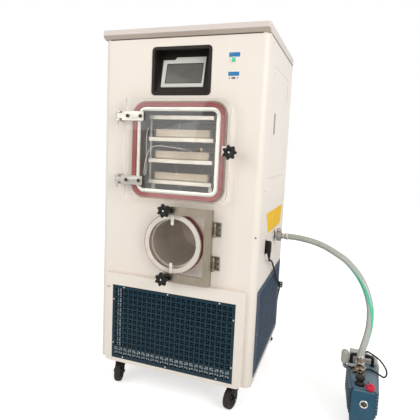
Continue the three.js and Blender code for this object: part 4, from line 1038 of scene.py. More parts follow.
# Pale strips behind the fret's foot and left edge: painted light showing through the holes.
build("front_grille_returns_painted_light", joined(plate(-304, 304, 168, 199.6, -19.8, -18, "y", 1, 0.3,
    2), plate(-279, -260.4, 200, 512, -19.8, -18, "y", 1, 0.3, 2)), pale_return_paint, "machine")
build("right_side_grille_fret", fret(47, 708, 160, 560, 106.9, 187.8, 11, 7, 385.9, 387.5,
    "x"), side_grille_paint, "machine", ["right_side_grille"], sharp=30)
build("right_side_grille_mat", plate(88, 667, 181, 539, 381, 382.5, "x", 2, 0.3, 2),
    shade_mat_paint, "machine")
build("left_side_grille_fret", fret(47, 708, 160, 560, 106.9, 187.8, 11, 7, -386.9, -385.6,
    "x"), side_grille_paint, "machine", sharp=30)
build("left_side_grille_mat", plate(60, 695, 172, 548, -385.5, -385.05, "x", 2, 0.1, 2),
    shade_mat_paint, "machine")
print("fret sheets cut")

# %% [markdown]
# ## Screws
# A pan-head screw is a low dome with a cross cut in it. At this size the cross is two shallow
# bars, so it is laid on the dome as two dark grooves would be: the dome dips where either bar
# passes. All the screws on a face are one mesh.


# %% Pan-head screws
def screw_head(radius, rise, sides=24, rings=8):
    """A dome on a disc: height = rise (1 - (r / radius)^2.4), less a dip of half the rise
    where |u| or |v| is under a tenth of the radius and r is under 0.62 of it."""
    r, a = np.meshgrid(radius * np.linspace(0, 1, rings + 1)[1:] ** 0.8, np.linspace(0,
        2 * np.pi, sides, endpoint=False), indexing="ij")
    u, v = r * np.cos(a), r * np.sin(a)
    height = rise * (1 - (r / radius) ** 2.4)
    slot_cut = (np.minimum(np.abs(u), np.abs(v)) < 0.1 * radius) & (r < 0.62 * radius)
    height = height - 0.5 * rise * slot_cut
    points = np.stack([u, v, height], axis=-1).reshape(-1, 3)
    centre, foot = len(points), len(points) + 1
    points = np.vstack([points, [0, 0, 0.5 * rise]])
    points = np.vstack([points, [0, 0, 0]])
    faces = grid_faces(rings, sides)
    ring = np.arange(sides)
    after = (ring + 1) % sides
    last = (rings - 1) * sides
    faces += [[centre, a, b] for a, b in zip(ring.tolist(), after.tolist())]
    faces += [[foot, last + b, last + a] for a, b in zip(ring.tolist(), after.tolist())]
    return points, faces


def facing(shape, way, at):
    """A shape whose top faces +z laid so that it faces that way: -y, +y, +x or -x."""
    x, y, z = np.asarray(shape[0]).T
    turned_to = {"-y": (x, -z, y), "+y": (x, z, y), "+x": (z, x, y), "-x": (-z, x, y)}
    return np.stack(turned_to[way], axis=-1) + np.asarray(at, float), shape[1]


def screws(name, places, way, material, radius=4.0, rise=1.8, body="machine"):
    """All the screws on one face."""
    heads = [facing(screw_head(radius, rise), way, at) for at in places]
    return build(name, joined(*heads), material, body, sharp=30)


screws("front_grille_screws", [(x, -22, z) for x in (-246, -18, 232) for z in (154, 507)]
    + [(x, -22, z) for x in (-299.5, 299.5) for z in (222, 442)], "-y", cream_paint, 3.4,
    1.6)
for side, x, way in (("right", 387.5, "+x"), ("left", -387.0, "-x")):
    screws(f"{side}_grille_screws", [(x, y, z) for y in (60, 377, 695) for z in (172, 548)]
        + [(x, y, 360) for y in (60, 695)], way, zinc, 3.6, 1.6 if side == "right" else 1.2)
screws("right_panel_screws", [(385, 83, 1644), (385, 157, 1530), (385, 670, 1635),
    (385, 83, 1010), (385, 670, 600)], "+x", zinc, 4.2)
screws("left_panel_screws", [(-385, y, z) for y in (60, 695) for z in (600, 1120, 1640)],
    "-x", zinc, 4.2)
screws("rear_panel_screws", [(x, 720, z) for x in (-370, 370) for z in (150, 560, 1000, 1400,
    1640)] + [(x, 720, z) for x in (-125, 125) for z in (150, 1640)], "+y", zinc, 4.2)
screws("plinth_screws", [(-334, -24, 502), (-323, -24, 502)], "-y", dark_steel, 3.4, 1.4)

# %% [markdown]
# ## Louvres on the back
# Warm air leaves through two columns of slots in the rear sheet. Each slot is pressed out into
# a hood that throws rain and dust off: a quarter of a tube, closed at its ends. The hood's
# section is an arc of radius r about the slot's lower edge, and it shrinks to nothing at both
# ends by the square root of 1 - s^8, with s from -1 to 1 along the slot.


# %% Louvre hoods
def louvre(middle, z, half=124.0, reach=9.0, steps=33, arc=9):
    """A pressed hood over one slot, 1.2 mm thick."""
    s = np.sin(np.linspace(-np.pi / 2, np.pi / 2, steps))
    swell = np.sqrt(np.maximum(1 - s**8, 0.0009))
    a = np.linspace(0, np.pi / 2, arc)
    outer = np.stack([reach * np.sin(a), 15.5 * np.cos(a)], axis=-1)
    inner = np.stack([(reach - 1.2) * np.sin(a), 14.3 * np.cos(a)], axis=-1)[::-1]
    section = np.vstack([outer, inner])
    y = 720 + section[None, :, 0] * swell[:, None]
    height = z - 1.5 + section[None, :, 1] * (0.35 + 0.65 * swell[:, None])
    x = middle + half * s[:, None] + 0 * y
    return stacked(np.stack([x, y, height], axis=-1))


hoods = [louvre(middle, 220 + 36 * row) for middle in (-185, 185) for row in range(8)]
build("rear_louvres", joined(*hoods), cream_paint, "machine")
print("sixteen louvres")

# %% [markdown]
# ## The drying chamber
# Behind the clear door is a welded stainless box with a broad rim, four thick shelves on posts
# and three pressed trays. The box and the rack are the CAD shapes with softened edges. A
# pressed tray has round corners and a rolled rim, so it is drawn afresh as a stack of rounded
# rectangles: up the outside, over the rim, down the inside and across its floor.

# %% Chamber, shelves and trays
refined("drying_chamber", vessel_steel, "machine", 1.5, segments=3)
refined("shelf_rack", shelf_steel, "machine", 1.6, segments=3)
TRAY_HALF, TRAY_FRONT, TRAY_BACK, TRAY_HEIGHT = 136.5, 40.0, 405.0, 36.0
SHELF_LOWEST, SHELF_PITCH = 1038.5, 96.0
tray_profile = eased([(9.0, 0.0), (5.0, 0.2), (2.6, 6.0), (1.6, TRAY_HEIGHT - 3.0),
    (0.0, TRAY_HEIGHT - 2.6), (0.2, TRAY_HEIGHT), (3.2, TRAY_HEIGHT),
    (3.4, TRAY_HEIGHT - 2.0), (4.2, 6.4), (6.4, 1.8), (11.0, 1.5)], 1.2, 2)
for level, place in enumerate(("lower", "middle", "upper")):
    base = SHELF_LOWEST + SHELF_PITCH * level + 0.4
    pan = ring_of((-TRAY_HALF, TRAY_HALF, TRAY_FRONT, TRAY_BACK), 16,
        [(inset, base + h) for inset, h in tray_profile], "z", 6, loop=False)
    build(f"tray_{place}_pressed", pan, tray_steel, "machine", [f"tray_{place}"])

holder_line = eased([(0, 1189.9), (3, 1189.9), (6.8, 1188), (7.6, 1182), (6.8, 1176),
    (3, 1174), (0, 1174)], 0.8, 2)
build("probe_holder_stem", turned([(0, 1221.9), (1.4, 1221.9), (1.4, 1190), (0, 1190)], "z",
    (96, 38, 0), 12), dark_steel, "machine")
build("probe_holder_brass", turned(holder_line, "z", (96, 38, 0), 28), brass, "machine")

# %% [markdown]
# ## Gaskets
# Both doors close on a moulded silicone ring. Its section is a flat base with a rounded,
# ribbed front, and it runs round a rounded rectangle for the chamber and round a circle for
# the trap. It is one loop carried round another, which makes a closed ring with no ends. The
# trap's ring has a lip that shows round the disc, and the chamber's sits on a bright rim.

# %% Chamber and trap gaskets
CHAMBER_EDGES, CHAMBER_CORNER = (-216.5, 216.5, 958, 1382), 60
ribbed = [(0.0, -10.3), (0.0, -17.5), (2.0, -21.6), (6.5, -21.7), (8.0, -20.2),
    (11.0, -20.2), (12.5, -21.7), (17.0, -21.6), (19.0, -17.5), (19.0, -10.3)]
build("chamber_gasket_moulded", ring_of(CHAMBER_EDGES, CHAMBER_CORNER, eased(ribbed, 1.2, 2,
    True).tolist(), "y", 14), gasket_silicone, "machine", ["chamber_gasket"])
rim_ring = eased([(19.8, -9.9), (19.8, -12.3), (37.6, -12.3), (37.6, -9.9)], 0.6, 2, True)
build("chamber_rim_face", ring_of(CHAMBER_EDGES, CHAMBER_CORNER, rim_ring.tolist(), "y", 14),
    rim_steel, "machine")
TRAP_X, TRAP_Z = 4.0, 755.0
lip_line = eased([(138.2, -14), (138.2, -23.8), (140.6, -23.8), (142, -15)], 0.6, 2, True)
build("trap_gasket_lip", turned(lip_line, "y", (TRAP_X, 0, TRAP_Z), 96, loop=True),
    gasket_silicone, "machine")
trap_section = eased([(138, -12.3), (138, -21.0), (136, -23.7), (134, -23.7), (133, -22.6),
    (132, -23.7), (130, -23.7), (128, -21.0), (128, -12.3)], 0.8, 2, True)
build("trap_gasket_moulded", turned(trap_section, "y", (TRAP_X, 0, TRAP_Z), 96, loop=True),
    gasket_silicone, "machine", ["trap_gasket"])

# %% [markdown]
# ## The clear door
# The door is a slab of acrylic 22 mm thick with two large round corners on the side away from
# its hinges. Polished edges catch the light, so its edge is rounded in several steps. It
# carries two stainless straps, each on two screws, and a lug for the knob's stud.

# %% Door plate, straps and lug
DOOR_EDGES, DOOR_CORNERS = (-248, 245, 952, 1397), (3, 45, 45, 3)
build("door_plate_acrylic", plate(*DOOR_EDGES, -44, -22, "y", DOOR_CORNERS, 1.6, 12),
    door_acrylic, "door", ["door_plate"])
# An opaque white band over the plate's edge is painted light: the bright look of a polished acrylic
# edge.
glow_band = [(-0.3, -42.8), (0.4, -42.8), (0.4, -23.2), (-0.3, -23.2)]
build("door_edge_painted_light", ring_of(DOOR_EDGES, DOOR_CORNERS, glow_band, "y", 12),
    white_silicone, "door")
HINGE_X, HINGE_Y = -287.0, -40.0
HINGE_HEIGHTS = {"upper": 1320.0, "lower": 1030.0}
for place, z in HINGE_HEIGHTS.items():
    refined(f"door_hinge_block_{place}", brushed_steel, "machine", 1.4, segments=3)
    refined(f"door_strap_{place}", strap_steel, "door", 1.2, segments=3)
    screws(f"door_strap_screws_{place}", [(x, -53.6, z) for x in (-233, -169)], "-y",
        dark_steel, 8.2, 3.4, "door")
    ball = [(0, -1), (3.6, 0), (5.2, 1.8), (5.4, 4.2), (4.4, 6.6), (2.4, 8.0), (0, 8.4)]
    build(f"hinge_pin_head_{place}", turned(eased(ball, 1.0, 2), "z", (HINGE_X, HINGE_Y,
        z + 25.5), 28), chrome, "machine")
refined("door_lug", brushed_steel, "door", 1.2, segments=3)

# %% [markdown]
# ## Star knobs
# A star knob is a seven-lobed hand wheel moulded on a threaded stud. Its outline is
# r = R - w + w cos 7a, and its section is a set of scales and heights from the front face,
# over a soft edge, down the grip and under to the neck. The lobes fade towards the middle of
# the front face, where a plated insert sits in a shallow dish.

# %% Star knobs
KNOB_RADIUS, KNOB_LOBES, KNOB_WAVE = 31.5, 7, 4.5


def star(profile, x, z, sides=140):
    """Outlines of the lobed wheel: each level has a scale s, a lobe depth w and a place y,
    and its radius is s (R - w) + w cos(7a) with w scaled too."""
    a = np.linspace(0, 2 * np.pi, sides, endpoint=False)
    outlines = []
    for scale, wave, y in profile:
        depth = KNOB_WAVE * wave
        r = scale * (KNOB_RADIUS - depth + depth * np.cos(KNOB_LOBES * a))
        outlines.append(np.stack([x + r * np.cos(a), 0 * a + y, z + r * np.sin(a)], -1))
    return stacked(np.array(outlines))


def threaded(radius, start, end, pitch=1.75, depth=0.55):
    """A profile of ridges along a stud: the radius dips by depth once each pitch."""
    h = np.arange(start, end, pitch / 4)
    r = radius - depth * (0.5 + 0.5 * np.cos(2 * np.pi * (h - start) / pitch))
    return [(0, start), *zip(r, h), (0, end)]


for name, x, z, face, neck, neck_end, body in (
    ("door_knob", 257, 1175, 85, 14, 49.3, "door_knob"),
    ("trap_knob_upper", -20, 909, 104, 12, 58.3, "trap_knob_upper"),
    ("trap_knob_lower", -20, 601, 104, 12, 58.3, "trap_knob_lower"),
):
    levels = [(0.20, 0.0, -face + 1.6), (0.34, 0.1, -face + 1.5), (0.42, 0.2, -face + 0.3),
        (0.62, 0.6, -face), (0.84, 0.9, -face + 0.6), (0.95, 1.0, -face + 1.9),
        (0.99, 1.0, -face + 4.0), (1.0, 1.0, -face + 7.0), (1.0, 1.0, -face + 14.0),
        (0.98, 1.0, -face + 16.6), (0.92, 0.9, -face + 18.8), (0.80, 0.7, -face + 20.0)]
    grip = star(levels, x, z)
    neck_line = eased([(0, -face + 18), (neck + 5, -face + 18), (neck + 1, -face + 22),
        (neck, -face + 26), (neck, -neck_end - 1), (neck - 1.5, -neck_end), (0, -neck_end)],
        1.2, 3)
    build(f"{name}_grip", joined(grip, turned(neck_line, "y", (x, 0, z), 40)), black_plastic,
        body, [name], sharp=50)
    build(f"{name}_stud", turned(threaded(5.0, -neck_end - 0.5, -10.6), "y", (x, 0, z), 28),
        zinc, body)
    insert = [(0, -0.6), (2.8, -0.6), (3.6, -0.2), (4.0, 0.6), (4.0, 3.0), (0, 3.0)]
    build(f"{name}_insert", turned(insert, "y", (x, -face + 1.2, z), 32), chrome, body)
print("knobs made")

# %% [markdown]
# ## The cold trap's door
# The trap closes with a clear disc that hangs in a C-shaped stainless bar. The bar swings on
# two butt hinges and its two star knobs screw into bosses on the front panel. Behind the disc
# is the pot: a plain round vessel with a flange. The disc has a milky pressed rim, two white
# clips that hold it to the bar, and two black buffers beside its knobs.

# %% Cold trap
refined("cold_trap_pot", pot_steel, "machine", 1.2, segments=3)
flange_ring = eased([(109, -12.2), (110, -12.9), (126.5, -12.9), (127.5, -12.2),
    (127.5, -11.5), (109, -11.5)], 0.5, 2, True)
build("trap_flange_face", turned(flange_ring, "y", (TRAP_X, 0, TRAP_Z), 96, loop=True),
    shelf_steel, "machine")
disc_edge = eased([(0, -44), (138.5, -44), (138.5, -24), (0, -24)], 1.6, 5)
build("trap_disc_acrylic", turned(disc_edge, "y", (TRAP_X, 0, TRAP_Z), 128), disc_acrylic,
    "trap_door", ["trap_disc"])
refined("trap_bracket", upright_steel, "trap_door", 1.3, segments=3)
TRAP_HINGE_HEIGHTS = {"upper": 833.0, "lower": 680.0}
for place, z in TRAP_HINGE_HEIGHTS.items():
    refined(f"trap_hinge_{place}", hinge_steel, "machine", 0.8)
    screws(f"trap_hinge_screws_{place}", [(x, -3.3, z + h) for x in (184, 211) for h in (-23,
        0, 23)], "-y", dark_steel, 4.4, 1.6)
boss_line = eased([(0, -57), (10.4, -57), (10.4, -68), (8.4, -71), (0, -71.6)], 1.4, 3)
build("bracket_buffers", joined(*[turned(boss_line, "y", (4.5, 0, TRAP_Z + h),
    40) for h in (-153, 153)]), black_plastic, "trap_door")
build("trap_disc_clips", joined(plate(-3.0, 10.0, 841, 888.8, -51.3, -44.45, "y", 2, 0.8, 4),
    plate(-3.0, 10.0, 621.2, 669, -51.3, -44.45, "y", 2, 0.8, 4)), white_silicone,
    "trap_door")
rim_line = eased([(114, -43.9), (114.6, -44.28), (135.4, -44.28), (136.2, -43.9)], 0.1, 1,
    True)
build("trap_disc_rim", turned(rim_line, "y", (TRAP_X, 0, TRAP_Z), 128, loop=True),
    rim_silicone, "trap_door")

# %% [markdown]
# ## The touch panel
# The panel leans back in a black surround whose pocket deepens towards its foot. Its parts are
# drawn flat, u across and v up its face with t out of it, and then leaned back by 15 degrees:
# y = 5 + v sin 15 - t cos 15 and z = 1453 + v cos 15 + t sin 15.

# %% Surround, panel and screen
refined("hmi_bezel", bezel_plastic, "machine", 1.6, segments=3)
refined("hmi_panel", light_plastic, "machine", 1.4, segments=3)
LEAN = math.radians(15)


def leaned(shape):
    """A flat shape (u, v, t) laid on the leaning panel's face."""
    u, v, t = np.asarray(shape[0]).T
    y = 5 + v * math.sin(LEAN) - t * math.cos(LEAN)
    z = 1453 + v * math.cos(LEAN) + t * math.sin(LEAN)
    return np.stack([u, y, z], axis=-1), shape[1]


build("hmi_screen", leaned(plate(-79.6, 89.6, 18.9, 108.1, -0.9, -0.3, "z", 1.0, 0.2)),
    screen_glass, "machine")
build("hmi_screen_edge", leaned(ring_of((-80, 90, 18.5, 108.5), 1.5, [(-2.0, -0.2),
    (-2.0, 0.5), (-0.8, 0.8), (0.3, 0.4), (0.6, -0.4), (0.2, -0.8)], "z", 4)), bezel_plastic,
    "machine")

# %% [markdown]
# ## Start button, labels and socket
# To the right of the panel are a lit start button in a plated ring, two bare label plates, and
# a small service socket with a screw at each side.

# %% Start button, label plates and socket
lens_line = eased([(0, -8.6), (5.0, -8.4), (7.6, -7.4), (8.4, -6), (8.4, -4.0), (5, -4.0),
    (5, 22), (0, 22)], 0.8, 3)
build("start_button_lens", turned(lens_line, "y", (BUTTON[0], 0, BUTTON[1]), 48),
    button_lens, "start_button", ["start_button"])
ring_line = eased([(8.9, -4.4), (10.2, -4.6), (11.4, -3.4), (12.0, -0.1), (8.9, -0.1)], 0.6,
    3, True)
build("start_button_ring", turned(ring_line, "y", (BUTTON[0], 0, BUTTON[1]), 48, loop=True),
    chrome, "machine")
for name, low, high in (("upper", 1574, 1592), ("lower", 1496, 1512.6)):
    build(f"label_plate_{name}", plate(214.5, 262, low, high, -0.7, -0.05, "y", 1.5, 0.25,
        4), blue_label, "machine")
build("service_socket", plate(230, 246, 1483, 1490.6, -1.6, -0.05, "y", 1.5, 0.6, 4),
    black_plastic, "machine")
build("service_socket_shell", ring_of((233, 243, 1484.8, 1488.8), 0.8, [(-0.6, -1.5),
    (-0.6, -2.4), (0.2, -2.4), (0.2, -1.5)], "y", 3), chrome, "machine")
screws("service_socket_screws", [(x, 0, 1487) for x in (220, 256)], "-y", dark_steel, 2.8,
    1.1)
print("front finished")

# %% [markdown]
# ## The right side
# On the machine's right are the vacuum port with its ring clamp, the mains connector, a bare
# yellow plate, a lift-out access panel with a grey finger pull, and the clip that holds the
# lead at the back corner. The port is one turned profile. A ring clamp is two half rings shut
# by a bolt with a wing nut, and the wing nut is what makes it read as a clamp.

# %% Vacuum port and its clamp
PORT_Y, PORT_Z = 417.0, 754.0  # the vacuum port's axis on the right side
port_line = eased([(0, 340), (13, 340), (13, 385.2), (31, 385.2), (31, 388.6), (29, 390.2),
    (16, 391.6), (14, 393), (14, 404), (20, 405.5), (20, 411.5), (13.2, 412.5), (13.2, 426),
    (14.4, 427), (13.2, 431), (14.4, 432), (13.2, 436), (13.6, 441), (0, 441)], 0.8, 2)
build("vacuum_port_turned", turned(port_line, "x", (0, PORT_Y, PORT_Z), 56), brushed_steel,
    "machine", ["vacuum_port"])


def ring_clamp(axis, at, start, end, outer, inner):
    """A clamp ring with a chamfered section round a pipe joint."""
    middle, reach = (start + end) / 2, (end - start) / 2
    line = [(inner, start + 0.35 * reach), (outer - 3, start), (outer, start + 1.2),
        (outer, end - 1.2), (outer - 3, end), (inner, end - 0.35 * reach), (inner - 1.5,
        middle)]
    return turned(eased(line, 0.9, 2, True), axis, at, 56, loop=True)


def wing_nut(at, span=13.0, height=9.0):
    """A wing nut with its bolt along y: a hub with two flat wings that rise and part. Each
    wing is a plate with a round tip."""
    x, y, z = at
    hub = turned(eased([(0, -4), (5.2, -4), (4.2, 5), (0, 5)], 0.8, 2), "y", (x, y, z), 24)
    wing = [plate(*sorted((x + s * 3, x + s * span)), z - 1, z + height, y - 1.2, y + 1.2,
        "y", 4, 0.9, 5) for s in (-1, 1)]
    return joined(hub, *wing)


port_clamp = ring_clamp("x", (0, PORT_Y, PORT_Z), 399, 424, 27, 19)
lugs = [plate(404, 419, PORT_Z + 22, PORT_Z + 38, y - 4.5, y + 4.5, "y", 4, 1.4, 5)
    for y in (PORT_Y - 7, PORT_Y + 7)]
bolt = turned(threaded(3.0, -22, 20), "y", (411.5, PORT_Y, PORT_Z + 31), 20)
build("vacuum_port_clamp", joined(port_clamp, *lugs), cast_aluminium, "machine",
    sharp=40)
build("vacuum_port_wing_nut", joined(bolt, wing_nut((411.5, PORT_Y - 16, PORT_Z + 31))),
    chrome, "machine", sharp=40)
worm = eased([(15.2, -5), (16.4, -5), (16.4, 5), (15.2, 5)], 0.4, 2, True)
build("hose_band", turned(worm, "x", (453, PORT_Y, PORT_Z), 48, loop=True), chrome,
    "machine")

# %% Mains connector, plate, pull and clip
connector = plate(168, 200, 708, 770, 385.3, 412, "x", 13, 8, 6)
relief_way = np.array([0.0, math.sin(math.radians(26.5)), -math.cos(math.radians(26.5))])
relief_line = np.array([403.0, 185.0, 705.0]) - relief_way * 17
relief_h = np.linspace(-3, 37, 41)[:, None]
relief_radius = 9.4 - 3.2 * relief_h[:, 0] / 37
relief_radius = relief_radius - 0.8 * (0.5 - 0.5 * np.cos(relief_h[:, 0] * 1.1)) ** 3
build("mains_connector_body", joined(connector, tube(relief_line + relief_way * relief_h,
    relief_radius, 24, (1, 0, 0))), black_plastic, "machine",
    ["mains_connector"], sharp=40)
build("mains_inlet_plate", ring_of((165, 203, 705, 773), 5, eased([(0, 385.1), (0, 386.6),
    (5.4, 387.2), (5.4, 385.1)], 0.5, 2, True).tolist(), "x", 6), black_plastic, "machine")
yellow_corners = np.array([(222, 798), (606, 791), (636, 891), (160, 900)], float)
yellow_layers = [laid(*yellow_corners.T, np.full(4, x), "x") for x in (385.05, 385.9)]
build("yellow_side_plate", stacked(np.array(yellow_layers)), yellow_plate, "machine")
pull_ring = eased([(0, 384.8), (0, 386.2), (3.0, 386.6), (3.4, 384.8)], 0.5, 2, True)
build("access_pull_rim", ring_of((206, 234, 1262, 1362), 12, pull_ring.tolist(), "x", 8),
    pull_plastic, "machine")
build("access_pull_cup", plate(207.5, 232.5, 1263.5, 1360.5, 366.5, 368.8, "x", 11, 0.6, 6),
    black_plastic, "machine")
build("lead_clip_band", turned(eased([(4.8, -4), (7.2, -4), (7.2, 4), (4.8, 4)], 0.5, 2,
    True), "y", (394.5, 724, 398.5), 32, loop=True), black_plastic, "machine")
clip_shell = [(-1, 718.2), (-1, 728.8), (5, 728.8), (5, 718.2)]
build("lead_clip_shell", ring_of((386.4, 407.5, 383, 415), 3, clip_shell, "y", 4),
    black_plastic, "machine", sharp=40)
corner_plug = eased([(0, -1.6), (2.6, -1.4), (3.4, 0.2), (3.4, 0.6), (0, 0.6)], 0.4, 2)
build("corner_hole_plug", turned(corner_plug, "y", (372, 1.9, 814), 24), black_plastic,
    "machine")
print("right side finished")

# %% [markdown]
# ## The refrigeration unit
# Behind the frets' mats are the condenser and its fan. The fins are too fine to model,
# so the coil keeps its CAD block with a finned finish. The compressor is the usual welded pot.

# %% Condenser, fan and compressor
refined("condenser_coil", fin_aluminium, "machine", 1.0)
refined("condenser_fan", black_plastic, "condenser_fan", 0.6)
pot_line = eased([(0, 138.3), (105, 138.3), (105, 144.3), (92, 145), (95, 168), (95, 255),
    (97, 257), (97, 261), (95, 263), (95, 326), (80, 362), (45, 378), (0, 381.3)], 6.0, 4)
build("compressor_pot", turned(pot_line, "z", (-190, 430, 0), 64), black_plastic, "machine",
    ["compressor"])
print("refrigeration unit finished")

# %% [markdown]
# ## Casters
# Each caster is a pressed fork on a swivel race with a rubber-tyred wheel. The forks keep their
# CAD shape and get a plated nut on each side. A wheel is two turned profiles about its axle: a
# tyre with a crowned tread and rounded shoulders, and a hub with a raised rim. They are drawn
# about the swivel's axis and then turned with it: x' = x cos a - y sin a and y' = x sin a + y cos a.

# %% Casters
CASTER_TRAIL, WHEEL_RADIUS = 40.0, 50.0
CASTERS = {"front_left": (-300, 70, 14), "front_right": (300, 70, -13), "rear_left": (-300,
    650, 0), "rear_right": (300, 650, 0)}
tyre_line = eased([(34, -11), (38, -13.5), (44, -15.5), (48, -14), (49.6, -9), (50, 0),
    (49.6, 9), (48, 14), (44, 15.5), (38, 13.5), (34, 11)], 2.0, 3, True)
hub_line = eased([(5.6, -15), (14, -15.5), (16, -14), (18, -9), (31, -8), (35, -12.5),
    (37.5, -13), (37.5, 13), (35, 12.5), (31, 8), (18, 9), (16, 14), (14, 15.5), (5.6, 15)],
    1.0, 2, True)
nut_line = eased([(0, 19.5), (7.6, 19.5), (7.6, 24.5), (6.4, 26.5), (4.0, 27.0), (4.0, 29.5),
    (0, 29.8)], 0.6, 2)


def swivelled(shape, name):
    """A shape drawn about the swivel's axis, turned with the caster and put in its place."""
    x, y, z = np.asarray(shape[0]).T
    at_x, at_y, turn_by = CASTERS[name]
    c, s = math.cos(math.radians(turn_by)), math.sin(math.radians(turn_by))
    points = np.stack([at_x + x * c - y * s, at_y + x * s + y * c, z], axis=-1)
    return points, shape[1]


axle = (0, -CASTER_TRAIL, WHEEL_RADIUS)
for name in CASTERS:
    refined(f"caster_fork_{name}", fork_paint, f"swivel_{name}", 1.0)
    nuts = [swivelled(turned([(r, side * h) for r, h in nut_line], "x", axle, 6), name)
        for side in (-1, 1)]
    build(f"caster_nuts_{name}", joined(*nuts), chrome, f"swivel_{name}", sharp=30)
    build(f"caster_tyre_{name}", swivelled(turned(tyre_line, "x", axle, 72, loop=True),
        name), tyre_rubber, f"wheel_{name}", [f"caster_wheel_{name}"])
    build(f"caster_hub_{name}", swivelled(turned(hub_line, "x", axle, 48, loop=True), name),
        black_plastic, f"wheel_{name}")
print("casters finished")

# %% [markdown]
# ## The vacuum pump
# The pump is a finned oil case in teal enamel with its motor bolted on behind. The case and the
# motor are the CAD shapes with softened edges. Everything on them is drawn afresh: the sight
# glass, the red filler cap, the black ballast knob, the carrying handle, the exhaust filter and
# the inlet, whose clamp is the same as the one at the port.

# %% Oil case, motor and sight glass
SIGHT_PLACE = (857, 0, 153)
refined("pump_oil_case", pump_paint, "machine", 1.8, segments=3)
refined("pump_motor", motor_paint, "machine", 2.0, segments=3)
sight_ring = eased([(11.5, 48.3), (11.5, 45.5), (13, 43.6), (16, 43.6), (17.5, 45.5),
    (17.5, 48.3)], 0.8, 3, True)
build("sight_glass_ring", turned(sight_ring, "y", SIGHT_PLACE, 48, loop=True), chrome,
    "machine")
build("sight_glass_oil", turned(eased([(0, 46.6), (11.6, 47), (11.6, 48.2), (0, 48.2)], 0.4,
    2), "y", SIGHT_PLACE, 40), oil_amber, "machine")
build("sight_glass_lens", turned(eased([(0, 44.2), (8, 44.6), (11.4, 45.6), (11.4, 46.4),
    (0, 46.4)], 0.5, 3), "y", SIGHT_PLACE, 40), sight_glass, "machine")

# %% [markdown]
# ## Knurled caps
# A cap that is turned by hand has ridges round its rim. The radius is r - k + k |cos(n a / 2)|
# for sharp-bottomed flutes, and the flutes fade out where the profile says so.


# %% Filler cap and ballast knob
def knurled(profile, at, ridges, depth, sides=192):
    """A turned shape whose radius dips by depth between its ridges. The profile is
    (radius, height, share of the depth)."""
    a = np.linspace(0, 2 * np.pi, sides, endpoint=False)
    flute = depth * (1 - np.abs(np.cos(ridges * a / 2)))
    outlines = [np.stack([at[0] + (r - share * flute) * np.cos(a),
        at[1] + (r - share * flute) * np.sin(a), 0 * a + h], axis=-1) for r, h,
        share in profile]
    return stacked(np.array(outlines))


cap_levels = [(12.5, 209.4, 0), (13.0, 212.0, 0), (15.5, 213.4, 0.4), (17.2, 215.0, 1),
    (18.2, 217.0, 1), (18.2, 226.0, 1), (17.6, 228.6, 0.8), (15.4, 230.4, 0.2), (11.0, 231.2,
    0), (6.6, 231.6, 0), (6.0, 238.3, 0), (1.0, 238.3, 0)]
build("pump_oil_cap_knurled", knurled(cap_levels, (879, 68), 14, 2.6), red_plastic,
    "pump_oil_cap", ["pump_oil_cap"], sharp=45)
spool_levels = [(19.0, 209.4, 0), (20.0, 210.6, 1), (20.0, 217.4, 1), (19.0, 219.4, 0.5),
    (14.6, 223.0, 0), (13.2, 227.0, 0), (14.6, 231.0, 0), (19.0, 234.8, 0.5), (20.0, 236.6,
    1), (20.0, 244.6, 1), (18.6, 247.4, 0.5), (15.0, 248.8, 0), (11.0, 248.4, 0),
    (1.0, 247.6, 0)]
build("pump_ballast_knob_knurled", knurled(spool_levels, (838, 97), 24, 1.2), black_plastic,
    "pump_ballast_knob", ["pump_ballast_knob"], sharp=45)

VENT_PLACE = (872, 106, 0)
vent_base = eased([(0, 209.4), (7, 209.4), (7, 212), (5, 214), (0, 214.4)], 0.5, 2)
build("pump_vent_base", turned(vent_base, "z", VENT_PLACE, 32), chrome, "machine")
build("pump_vent_pin", turned(eased([(0, 214), (2.6, 214), (3.2, 222), (0, 222.6)], 0.6, 2),
    "z", VENT_PLACE, 20), black_plastic, "machine")

# %% Pump inlet and its clamp
INLET_X, INLET_Y = 838.0, 200.0
inlet_line = eased([(0, 209.4), (26, 209.4), (26, 214.6), (24.5, 216), (16.5, 217.6),
    (15, 220), (15, 229), (20, 231), (20, 236), (13.4, 240), (13.4, 262), (14.5, 263),
    (13.2, 268), (14.5, 269), (13.2, 274), (14.5, 275), (13.2, 281), (12.6, 282.7),
    (0, 282.7)], 0.9, 2)
build("pump_inlet_turned", turned(inlet_line, "z", (INLET_X, INLET_Y, 0), 56), nickel,
    "machine", ["pump_inlet"])
inlet_clamp = ring_clamp("z", (INLET_X, INLET_Y, 0), 225, 243, 28, 18)
inlet_lugs = [plate(INLET_X - 46, INLET_X - 26, y - 4.6, y + 4.6, 225, 243, "z", 3.5, 1.2, 5)
    for y in (INLET_Y - 6, INLET_Y + 6)]
build("pump_inlet_clamp", inlet_clamp, nickel, "machine", sharp=40)
build("pump_inlet_clamp_lugs", joined(*inlet_lugs), cast_aluminium, "machine",
    sharp=40)
hex_line = eased([(0, 247), (18, 247), (19.4, 248.6), (19.4, 259.4), (18, 261), (0, 261)], 0.5, 2)
build("pump_inlet_union_nut", turned(hex_line, "z", (INLET_X, INLET_Y, 0), 6), chrome,
    "machine", sharp=30)
clamp_bolt = turned(threaded(3.0, -26, 16), "y", (INLET_X - 36, INLET_Y, 234), 20)
build("pump_inlet_wing_nut", joined(clamp_bolt, wing_nut((INLET_X - 36, INLET_Y - 17, 234),
    12, 8)), black_plastic, "machine", sharp=40)
band = eased([(15.2, 268), (16.4, 268), (16.4, 278), (15.2, 278)], 0.4, 2, True)
build("pump_hose_band", turned([(r + 0.1, h + 18) for r, h in band], "z", (INLET_X + 0.8,
    INLET_Y, 0), 48, loop=True), chrome, "machine")
inlet_base_screws = [(INLET_X + 20.5 * math.cos(a), INLET_Y + 20.5 * math.sin(a), 215.0)
    for a in np.radians([45, 135, 225, 315])]
